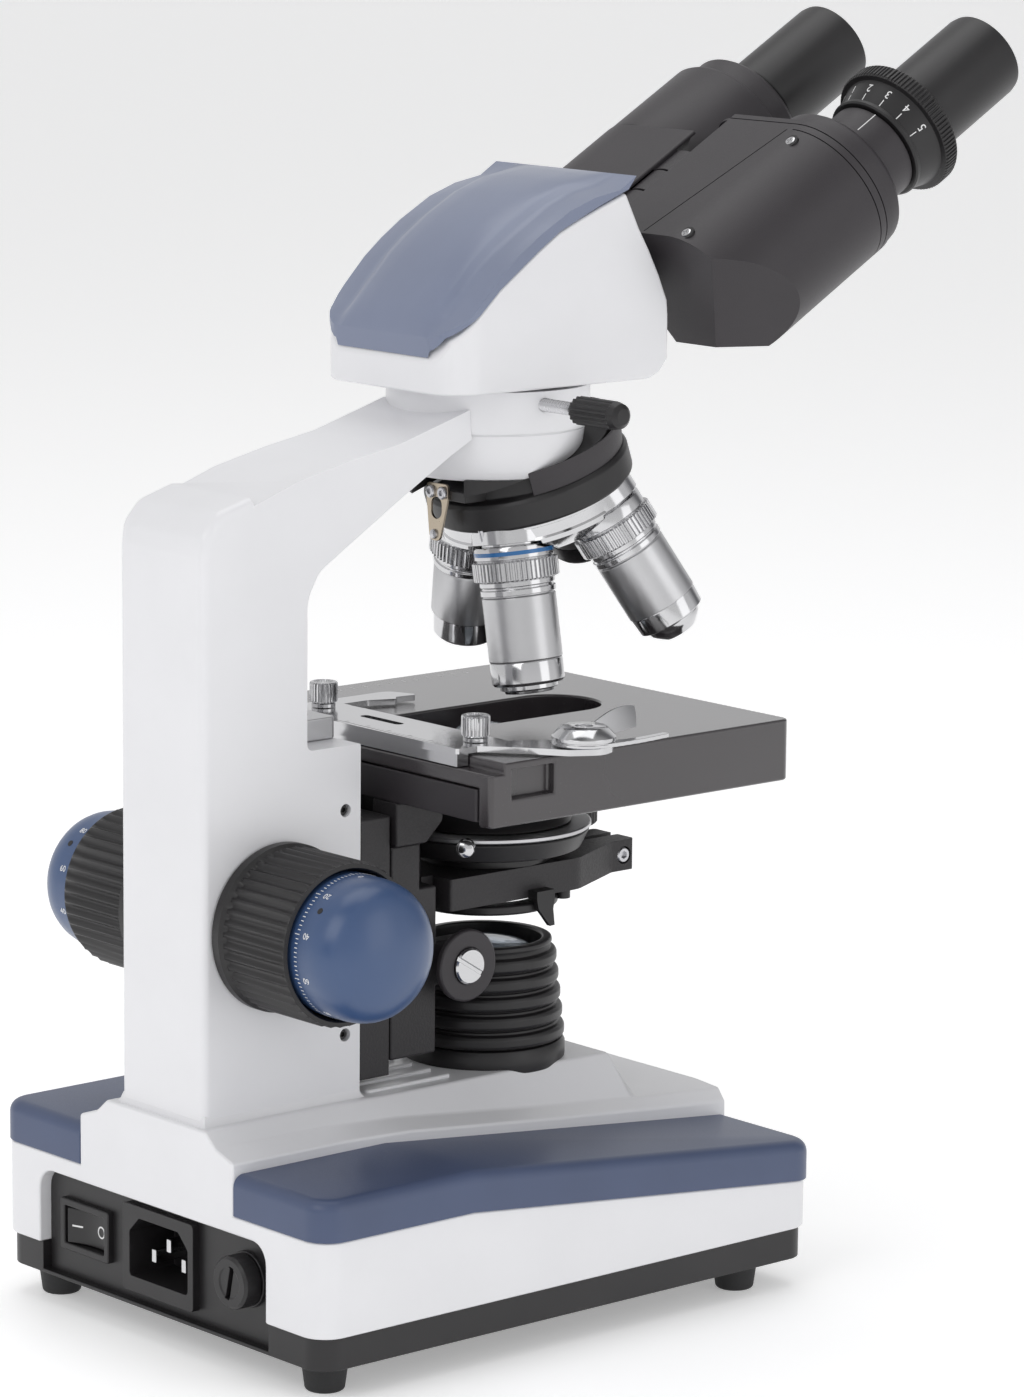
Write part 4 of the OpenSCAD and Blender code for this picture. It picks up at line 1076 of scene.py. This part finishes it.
def add_focus():
    for side, axis, name in ((-1, "-x", "near"), (1, "x", "far")):
        place = axis_place(axis, 0, FOCUS_Y, FOCUS_Z)
        start = ARM_X + 0.4
        profile = [(7.1, start), (24.0, start), (24.4, start + 0.6), (24.4, start + 3.4),
                   (23.4, start + 4.4), (23.9, start + 5.4), (23.9, 49.6), (23.2, 51.0),
                   (22.0, 51.3), (21.6, 50.8), (21.5, 45.2), (7.1, 45.2)]
        knob = turned_ring(profile, 60 * 8, flutes(44, 1.3, start + 5, 49.8, 0.7))
        make(f"coarse_knob_{name}", knob, BLACK, "coarse", ["coarse_knobs"] if side < 0 else (),
             at=place, bevel=0.2)
        fine = turned([(4.05, 45.6), (20.2, 45.6), (20.6, 46.2), (20.6, 58.6), (20.45, 60.6),
                       (20.0, 62.8), (19.1, 65.0), (17.8, 66.9), (15.9, 68.6), (13.2, 70.2),
                       (9.6, 71.6), (5.0, 72.5), (0, 72.8), (0, 60), (4.05, 58)], 128)
        make(f"fine_knob_{name}", fine, KNOB_BLUE, "fine", ["fine_knobs"] if side < 0 else (),
             at=place, bevel=0.25)
        marks = []
        for i in range(100):
            angle = 2 * math.pi * i / 100
            length = 1.9 if i % 10 == 0 else 1.1
            line = shift(tick(0.13, length / 2, 0.05), 0, -length / 2)
            marks.append(wrap(line, lambda h: DIAL_R, 53.6, angle))
            if i % 10 == 0:
                marks.append(wrap(lettering(str(i * 2), 2.6, 0.05), lambda h: DIAL_R, 56.6, angle,
                                  False))
        make(f"fine_dial_marks_{name}", joined(*marks), INK, "fine", at=place)
        hole = rod(0.95, 20.2, 20.66)
        hole = moved(hole, rotation("X", -40) @ Matrix.Translation((side * 58, 0, 0)))
        hole = moved(hole, Matrix.Translation((0, FOCUS_Y, FOCUS_Z)) @ rotation("X", -10))
        make(f"fine_knob_set_screw_{name}", hole, BLACK, "fine")
    add_rail()


def add_rail():
    rail = block(-19.2, 19.2, 52.2, 63.68, 72.3, 149.5)
    inner = [block(-12.8, 12.8, 63.6, 75, 77, 148), block(-9, 9, 46, 52.3, 74, 144)]
    rail = union(rail, *inner)
    rail = combined(rail, block(-6, 6, 40, 80, 79, 146))
    make("focus_guide_rail", rail, WRINKLE, "stand", ["focus_rail"], bevel=0.7)


# distance behind the optical axis and height of the shaft that lifts the condenser
CONDENSER_SHAFT = (29, 103)


def add_carriage():
    body = combined(block(-19.2, 19.2, 34.7, 51.9, 76.5, 140),
                    block(-9.3, 9.3, 45.7, 53, 70, 150), block(-5.8, 5.8, 33, 42, 70, 150),
                    block(-20, -12, 30, 41, 126.5, 150), block(12, 20, 30, 41, 126.5, 150))
    extra = [block(-5.5, 5.5, 43, 66, 90, 140), block(-19.2, -13, 22.5, 35, 96.5, 109.5)]
    body = union(body, *extra)
    bore = laid(rod(3.05, -22, -11, 48), "x", 0, *CONDENSER_SHAFT)
    make("stage_carriage_block", combined(body, bore), WRINKLE, "carriage", ["carriage"],
         bevel=0.8)
    tooth = [(82.8, -0.75), (84.7, -0.25), (84.7, 0.25), (82.8, 0.75)]
    teeth = [prism([(y, z + 100.6 + i * 1.6) for y, z in tooth], -5.2, 5.2, "x")
             for i in range(25)]
    rack = block(-5.5, 5.5, 65.9, 83, 100, 140)
    make("stage_rack", joined(rack, *teeth), STEEL, "carriage")
    bracket = prism([(33.8, 153.3), (33.8, 146), (40, 140.02), (51.6, 140.02), (51.6, 153.3)],
                    -21, 21, "x")
    bracket = combined(bracket, block(-9.9, 9.9, 45.2, 55, 139, 154))
    make("stage_support_bracket", bracket, WRINKLE, "carriage", ["stage_bracket"], bevel=0.8)


# ---------------------------------------------------------------- stage

# axis of the two knobs that hang below the stage
STAGE_KNOB = (high("drive_x_knob").x - 6.8, low("drive_y_knob").y + 11)


def stage_window():
    """Cutting tool for the long light opening of the stage."""
    return prism(rectangle(-14, 14, -41, 36, 13.9, 14), 150, 180)


def add_stage():
    front, back = low("stage_top").y, high("stage_top").y
    plan = rectangle(-STAGE_X, STAGE_X, front, back, [3, 3, 1.6, 1.6])
    plate = prism(plan, 163.2, STAGE_TOP)
    notch = prism(rectangle(-STAGE_X - 3, -STAGE_X + 3, 27.7, 43.5, [0, 0.8, 0.8, 0]), 160, 168.5)
    groove = block(-STAGE_X - 1, STAGE_X + 1, 46.5, back + 3, 167.5, 175)
    bore = shift(rod(3.06, 150, 167, 48), *STAGE_KNOB)
    skirt = combined(prism(plan, 152.2, 163.6), block(-57, 57, -63.4, back + 2, 150, 166),
                     stage_window())
    plate = combined(union(plate, skirt), stage_window(), notch, groove, bore)
    make("stage_top_plate", plate, STAGE, "stage", ["stage_top"], bevel=0.8, segments=4, sharp=40)
    boss = shift(tube(3.06, 4.8, 158, 163.4, 48), *STAGE_KNOB)
    make("stage_knob_boss", boss, STAGE, "stage", bevel=0.2)
    base = prism(rectangle(-56.3, 56.3, -44, 51.8, 1.0), 153.32, 162.8)
    window = prism(rectangle(-20, 20, -22, 22, 8), 150, 166)
    make("stage_lower_slide", combined(base, window), COAT, "carriage", ["stage_base"], bevel=0.5)
    marks = []
    for i in range(31):
        half = 1.6 if i % 5 == 0 else 0.9
        marks.append(shift(tick(0.12, half, 0.04), -30 + 2 * i, 45.2 - half, STAGE_TOP))
    for i in range(13):
        marks.append(shift(tick(1.2, 0.12, 0.04), STAGE_X - 6.5, -40 + 5 * i, STAGE_TOP))
    make("stage_scale_marks", joined(*marks), INK, "stage")


def add_stage_knobs():
    upper = turned([(3.2, 124.5), (10.2, 124.5), (11, 125.3), (11, 140.1), (10.2, 141),
                    (3.1, 141), (3.02, 166.4), (0, 166.4), (0, 124.9)], 36 * 8,
                   radius_at=flutes(36, 0.6, 125.2, 140.2, 1.0))
    make("stage_front_back_knob", shift(upper, *STAGE_KNOB), BLACK, "drive_y", ["drive_y_knob"],
         bevel=0.15)
    lower = turned([(0, 110), (6.2, 110), (6.8, 110.7), (6.8, 123.4), (6.2, 124.1), (0, 124.1)],
                   28 * 8, radius_at=flutes(28, 0.5, 110.6, 123.5, 1.0))
    make("stage_cross_knob", shift(lower, *STAGE_KNOB), BLACK, "drive_x", ["drive_x_knob"],
         bevel=0.15)


HOLDER_Z = 171.2
THUMB_SCREWS = [(28, 39), (-41, 39)]
# pivot of the sprung clip finger
HUB = (-64.5, 18.5)


def add_holder():
    top = HOLDER_Z + 1.8
    bar = prism(rectangle(-47, 36, 31.2, 51, [1.5, 0, 1, 1]), HOLDER_Z, top)
    tongue = block(-47, 36, 46.9, 51, 167.8, HOLDER_Z + 0.2)
    jaw = prism(rounded([(36, 32), (36, 8), (26, 4), (27, 12), (24.5, 14), (28, 22), (28, 32)],
                        [0, 4, 1.2, 1, 1, 3, 0], 4), HOLDER_Z, top)
    plate = prism(rounded([(-46.4, 44), (-58, 34), (-68, 27), (-73, 18.5), (-70, 11), (-62, 10),
                           (-56, 16), (-46.4, 31.4)], [0, 6, 6, 6, 5, 5, 8, 0], 5), HOLDER_Z, top)
    body = union(bar, tongue, jaw, plate)
    tools = [prism(rectangle(-8, 10, 37.5, 40.5, 1.4), 160, 180),
             prism(arc(3.2, 180, 360, 14, (22, 31.4)), 160, 180),
             prism(arc(7.5, 180, 360, 20, (-30, 31.2)), 160, 180)]
    tools += [shift(rod(1.65, 165, 180), *place) for place in THUMB_SCREWS]
    make("slide_holder_plate", combined(body, *tools), CHROME, "holder", ["slide_holder"],
         bevel=0.18)
    post = turned([(0, top - 0.1), (2.5, top - 0.1), (2.5, 177.8), (2.2, 178.15), (1.1, 178.15),
                   (0.9, 177.6), (0, 177.6)], 48)
    make("finger_pivot_post", shift(post, *HUB), CHROME, "holder", bevel=0.1)
    marks = []
    for i in range(41):
        half = 1.3 if i % 5 == 0 else 0.75
        marks.append(shift(tick(0.1, half, 0.03), -42 + 1.9 * i, 50.4 - half, top))
    make("slide_holder_scale", joined(*marks), BLACK, "holder")
    profile = [(0, 171.4), (1.55, 171.4), (1.55, 173.2), (3.6, 173.2), (3.6, 174.2), (3.0, 174.4),
               (3.9, 174.6), (4.2, 175.0), (4.2, 180.2), (3.9, 180.6), (3.0, 180.7), (2.6, 180.3),
               (0, 180.3)]
    teeth = knurl(24, 0.5, 174.7, 180.5)
    screws = [shift(turned(profile, 24 * 8, radius_at=teeth), *place) for place in THUMB_SCREWS]
    make("holder_thumb_screws", joined(*screws), CHROME, "holder", ["holder_screws"], bevel=0.08)


def add_finger():
    hub = turned_ring([(2.58, 173.3), (9.0, 173.3), (9.3, 173.6), (9.3, 175.8), (8.9, 176.3),
                       (6.9, 178.3), (6.3, 178.6), (2.58, 178.6)])
    groove = tube(9.0, 9.6, 174.3, 174.7)
    make("clip_finger_hub", shift(combined(hub, groove), *HUB), CHROME, "finger", ["clip_finger"],
         bevel=0.12)
    outer = [(-6.5, 5.5), (-8.6, 2.0), (-9.2, -3), (-9.3, -8), (-9.2, -14), (-8.6, -20),
             (-7.6, -26)]
    inner = [(-5.6, -25.6), (-6.2, -20), (-6.6, -14), (-6.2, -9), (-4.6, -5), (-3, -2)]
    outline = []
    for (x0, y0), (x1, y1) in zip(outer, outer[1:]):
        for k in range(4):
            t = k / 4
            tooth = 0.21 if k % 2 else 0.0
            outline.append((x0 + (x1 - x0) * t - tooth, y0 + (y1 - y0) * t))
    outline += [outer[-1], *inner]
    arm = shift(prism(outline, 173.35, 174.5), *HUB)
    make("clip_finger_arm", arm, CHROME, "finger", bevel=0.12)
    rows = []
    for i in range(13):
        t = i / 12
        y = -4.5 - 20 * t
        height = 1.4 + 5.4 * math.sin(math.pi * min(1.0, 0.12 + 0.62 * t)) ** 0.8
        lean = 1.0 + 1.3 * t
        base_z = 174.2 + 0.6 * t
        x = 2.0 + 3.2 * t * t
        rows.append([(x - 0.45, y, base_z), (x + 0.45, y, base_z),
                     (x + 0.45 + lean * 0.5, y - 1.0, base_z + height * 0.55),
                     (x + 0.35 + lean, y - 1.4, base_z + height),
                     (x - 0.35 + lean, y - 1.4, base_z + height),
                     (x - 0.45 + lean * 0.5, y - 1.0, base_z + height * 0.55)])
    wing = shift(loft(rows), *HUB)
    make("clip_finger_wing", wing, SATIN, "finger", bevel=0.12)


# ---------------------------------------------------------------- condenser

def add_condenser_mount():
    plan = rounded([(-20, 30), (-20, -20), (-9, -43), (-9, -52), (9, -52), (9, -43), (20, -20),
                    (20, 30)], [1, 9, 3, 1.2, 1.2, 3, 9, 1], 6)
    fork = prism(plan, 118, 127.5)
    fork = union(fork, block(-11.6, 11.6, 29.9, 34.3, 118, 127.5),
                 block(-4, 4, 34.2, 39, 92, 127.5))
    bore = rod(16.54, 115, 130, 96)
    screw_hole = laid(rod(1.72, -12, 12), "x", 0, -48, 122.7)
    sink = laid(rod(2.7, -12, -7.2), "x", 0, -48, 122.7)
    fork = combined(fork, bore, block(-1.5, 1.5, -53, -10, 116, 130), screw_hole, sink)
    make("condenser_fork", fork, WRINKLE, "condenser", ["condenser_mount"], bevel=0.9)
    screw = laid(socket_screw(2.5, 1.8), "-x", -7.2, -48, 122.7)
    make("condenser_clamp_screw", screw, STEEL, "condenser")
    teeth = [block(-3.6, 3.6, 34.0, 34.3, 94 + i * 1.9, 94 + i * 1.9 + 0.9) for i in range(18)]
    make("condenser_rack_teeth", joined(*teeth), STEEL, "condenser")


def add_condenser():
    lower = turned_ring([(12, 117), (16.2, 117), (16.5, 117.3), (16.5, 127.6), (12, 127.6)])
    make("condenser_sleeve", lower, SATIN, "condenser", ["condenser_body"], bevel=0.2)
    cup = turned_ring([(12, 127.5), (20, 127.5), (20, 131.1), (28, 131.2), (28.8, 131.6),
                       (31.2, 136.6), (30.8, 137.1), (24.0, 137.1), (24.0, 139.2), (26, 139.3),
                       (25.4, 140.6), (16.2, 151.4), (15, 152), (13, 152.2), (13, 161.9),
                       (12.4, 162.6), (9.05, 162.6), (9.05, 142), (12, 142)], 128)
    make("condenser_cup", cup, BLACK, "condenser", bevel=0.25)
    lens = [(0, 158), (9, 158), (9, 165.3), *dome(9, 165.3, 2.4, 10)]
    make("condenser_top_lens", turned(lens), GLASS, "condenser", ["condenser_lens"])
    ring = turned_ring([(24.1, 137.3), (31.2, 137.3), (31.7, 137.7), (31.7, 138.6), (31.3, 138.9),
                        (24.1, 138.9)], 160)
    make("iris_bright_ring", ring, SATIN, "iris", ["iris_lever"], bevel=0.12)
    # the lever points to the left and back at rest
    direction = Matrix.Translation((0, 0, 138.1)) @ rotation("Z", 131.5) @ rotation("Y", 90)
    lever = turned([(0, 31), (0.75, 31), (0.75, 37.4), (1.6, 37.6), (2.4, 38.2), (2.8, 39.2),
                    (2.8, 41.0), (2.5, 42.0), (1.6, 42.6), (0, 42.7)], 48)
    make("iris_lever_ball", lever, CHROME, "iris", at=direction, bevel=0.1)


def add_condenser_drive():
    place = axis_place("-x", 0, *CONDENSER_SHAFT)
    knob = turned_ring([(3, 24.65), (10.2, 24.65), (10.7, 25.1), (10.7, 26.5), (10.2, 27),
                        (5.6, 27), (5.6, 26.6), (3, 26.6)])
    make("condenser_focus_knob", knob, COAT, "condenser_drive", ["condenser_knob"], at=place,
         bevel=0.3)
    screw = turned([(0, 26.4), (5.4, 26.4), (5.4, 27.7), (4.9, 28.25), (0, 28.3)], 64)
    screw = moved(combined(screw, block(-6, 6, -0.62, 0.62, 27.4, 30)), rotation("Z", 58))
    make("condenser_knob_screw", screw, CHROME, "condenser_drive", at=place, bevel=0.15)


def add_filter_holder():
    ring = turned_ring([(14.5, 113.8), (21.4, 113.8), (22, 114.4), (22, 116.2), (21.5, 116.7),
                        (16.05, 116.7), (16.05, 115), (14.5, 115)], 128)
    make("filter_ring", ring, BLACK, "filter", ["filter_holder"], bevel=0.25)
    pin = rod(2.3, 115, 117.7)
    make("filter_pivot_pin", shift(pin, -15.5, -17.5), BLACK, "filter", bevel=0.15)
    strip = prism([(-7, 109.6), (-5.2, 109.5), (-0.6, 115.2), (0, 118), (-7, 118), (-6.4, 114.6)],
                  -24, -22.5, "x")
    strip = union(strip, block(-24, -19.9, -7, 0, 117.9, 120.4))
    make("condenser_side_strip", strip, BLACK, "condenser", bevel=0.3)


# ---------------------------------------------------------------- lamp

def add_lamp():
    foot = turned_ring([(16, 66), (24.2, 66), (24.5, DECK_Z + 0.1), (24.5, 71.6), (23.7, 73.0),
                        (16, 73)], 128)
    profile = [(16, 72), (22.6, 72)]
    for k in range(5):
        z = 73.2 + k * 5.6
        r = 24.3 - k * 0.62
        profile += [(r - 1.9, z), (r - 0.5, z + 0.35), (r, z + 1.2), (r, z + 3.3),
                    (r - 0.5, z + 4.2), (r - 1.9, z + 4.6), (r - 1.9, z + 5.2)]
    profile += [(20.1, 101.6), (20.4, 102.2), (20.2, 103.3), (19.4, 103.5), (17.6, 103.5),
                (17.2, 103.0), (17.2, 98), (16, 98)]
    rings = turned_ring(profile, 128)
    make("lamp_housing_base", foot, BLACK, "stand", ["lamp_housing"], bevel=0.3)
    make("lamp_housing_rings", rings, BLACK, "stand", bevel=0.3, sharp=28)
    lens = [(0, 96.9), (15.6, 96.9), (15.6, 98.1), *dome(15.5, 98.1, 4.8, 12)[:-1], (0, 102.95)]
    make("lamp_dome_lens", turned(lens), GLASS, "stand", ["lamp_lens"])
    liner = turned([(0, 86), (15.3, 86.2), (15.4, 96.8), (15.1, 96.8), (15.0, 87), (0, 86.8)], 64)
    make("lamp_reflector_liner", liner, CHROME, "stand")


# ---------------------------------------------------------------- shown CAD nodes

CARRIED = {
    "tray_screws": STEEL, "lamp_board": BOARD, "pinion_shaft": STEEL, "fine_shaft": STEEL,
    "condenser_shaft": STEEL, "power_board": BOARD, "fuse_tube": CHROME,
}


def finish_carried_nodes():
    """Gives every CAD node that no piece replaces one of the finishes above."""
    replaced = set()
    for obj in bpy.data.objects:
        replaced.update(obj.get("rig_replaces", []))
    by_slot = {slot: material for material, slot in reversed(list(SLOT_OF.items()))}
    for name, node in frame["nodes"].items():
        if name in replaced:
            continue
        material = CARRIED.get(name, by_slot.get(str(node.get("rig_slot", "")), BLACK))
        for slot in node.material_slots:
            slot.material = material


# ---------------------------------------------------------------- camera, floor, light

CAMERA_AT = (-1198.6, 1033.4, 466.1)
CAMERA_AZIMUTH = 228.95
CAMERA_ELEVATION = 10.42
CAMERA_ROLL = 0.50
LENS = 140.03


def add_camera():
    azimuth, elevation = math.radians(CAMERA_AZIMUTH), math.radians(CAMERA_ELEVATION)
    back = Vector((math.sin(azimuth) * math.cos(elevation),
                   -math.cos(azimuth) * math.cos(elevation), math.sin(elevation)))
    right = (-back).cross(Vector((0, 0, 1))).normalized()
    up = right.cross(-back)
    roll = math.radians(CAMERA_ROLL)
    right, up = (right * math.cos(roll) + up * math.sin(roll),
                 up * math.cos(roll) - right * math.sin(roll))
    camera = bpy.data.cameras.new("camera")
    camera.lens = LENS
    camera.sensor_width = 36
    camera.clip_start = 0.01
    camera.clip_end = 50
    obj = linked("camera", camera)
    matrix = Matrix((right, up, back)).transposed().to_4x4()
    matrix.translation = PLACE @ Vector(CAMERA_AT)
    obj.matrix_world = matrix
    bpy.context.scene.camera = obj


def add_floor():
    bm = bmesh.new()
    bmesh.ops.create_grid(bm, x_segments=8, y_segments=8, size=6)
    floor = linked("floor", mesh_of("floor", bm))
    material = finish_material("pale_floor", (0.98, 0.98, 0.98), 0.6, grain=40, bump=0.02,
                               depth=0.0001, mottle=0.004)
    shader = material.node_tree.nodes["Principled BSDF"]
    shader.inputs["Emission Color"].default_value = (1, 1, 1, 1)
    shader.inputs["Emission Strength"].default_value = 0.3
    floor.data.materials.append(material)


def area_light(name, at, target, size, power):
    light = bpy.data.lights.new(name, "AREA")
    light.shape = "RECTANGLE"
    light.size, light.size_y = size
    light.energy = power
    obj = linked(name, light)
    obj.location = at
    obj.rotation_euler = (Vector(at) - Vector(target)).to_track_quat("Z", "Y").to_euler()


def add_studio():
    """Soft room light with a darker band to one side, for the metal; the camera sees white."""
    bpy.context.scene.view_settings.view_transform = "Standard"
    world = bpy.data.worlds.new("studio")
    world.use_nodes = True
    bpy.context.scene.world = world
    nodes, links = world.node_tree.nodes, world.node_tree.links
    background = nodes["Background"]
    coords = nodes.new("ShaderNodeTexCoord")
    split = nodes.new("ShaderNodeSeparateXYZ")
    links.new(coords.outputs["Generated"], split.inputs["Vector"])
    fade = ramp(nodes, links, split.outputs["Z"],
                [(0.0, (0.80, 0.80, 0.80)), (0.25, (0.74, 0.74, 0.75)),
                 (0.75, (0.60, 0.60, 0.60))])
    flank = ramp(nodes, links, split.outputs["X"],
                 [(0.22, (1.0, 1.0, 1.0)), (0.42, (0.25, 0.25, 0.26)),
                  (0.5, (0.25, 0.25, 0.26)), (0.62, (1.0, 1.0, 1.0))])
    centred = nodes.new("ShaderNodeMapRange")
    centred.inputs["From Min"].default_value = -1.0
    links.new(split.outputs["X"], centred.inputs["Value"])
    links.new(centred.outputs["Result"], flank.inputs["Fac"])
    product = nodes.new("ShaderNodeMix")
    product.data_type = "RGBA"
    product.blend_type = "MULTIPLY"
    product.inputs["Factor"].default_value = 1.0
    links.new(fade.outputs["Color"], product.inputs[6])
    links.new(flank.outputs["Color"], product.inputs[7])
    path = nodes.new("ShaderNodeLightPath")
    mix = nodes.new("ShaderNodeMix")
    mix.data_type = "RGBA"
    links.new(path.outputs["Is Camera Ray"], mix.inputs["Factor"])
    links.new(product.outputs[2], mix.inputs[6])
    mix.inputs[7].default_value = (1, 1, 1, 1)
    links.new(mix.outputs[2], background.inputs["Color"])
    background.inputs["Strength"].default_value = 1.0
    target = (0, 0, 0.2)
    area_light("key", (-0.3, 1.6, 1.3), target, (1.2, 1.2), 9)
    area_light("side", (-1.8, -0.5, 0.7), target, (1.0, 1.4), 3.5)
    area_light("top", (0.2, -0.2, 1.8), target, (1.4, 1.4), 9)


def main():
    add_camera()
    add_base()
    add_rear_panel()
    add_arm()
    add_nose()
    add_head_lock()
    add_turret()
    add_objectives()
    add_head()
    add_hinge()
    add_near_tube()
    add_far_tube()
    add_eyepieces()
    add_focus()
    add_carriage()
    add_stage()
    add_stage_knobs()
    add_holder()
    add_finger()
    add_condenser_mount()
    add_condenser()
    add_condenser_drive()
    add_filter_holder()
    add_lamp()
    finish_carried_nodes()
    add_floor()
    add_studio()


main()
bpy.context.view_layer.update()
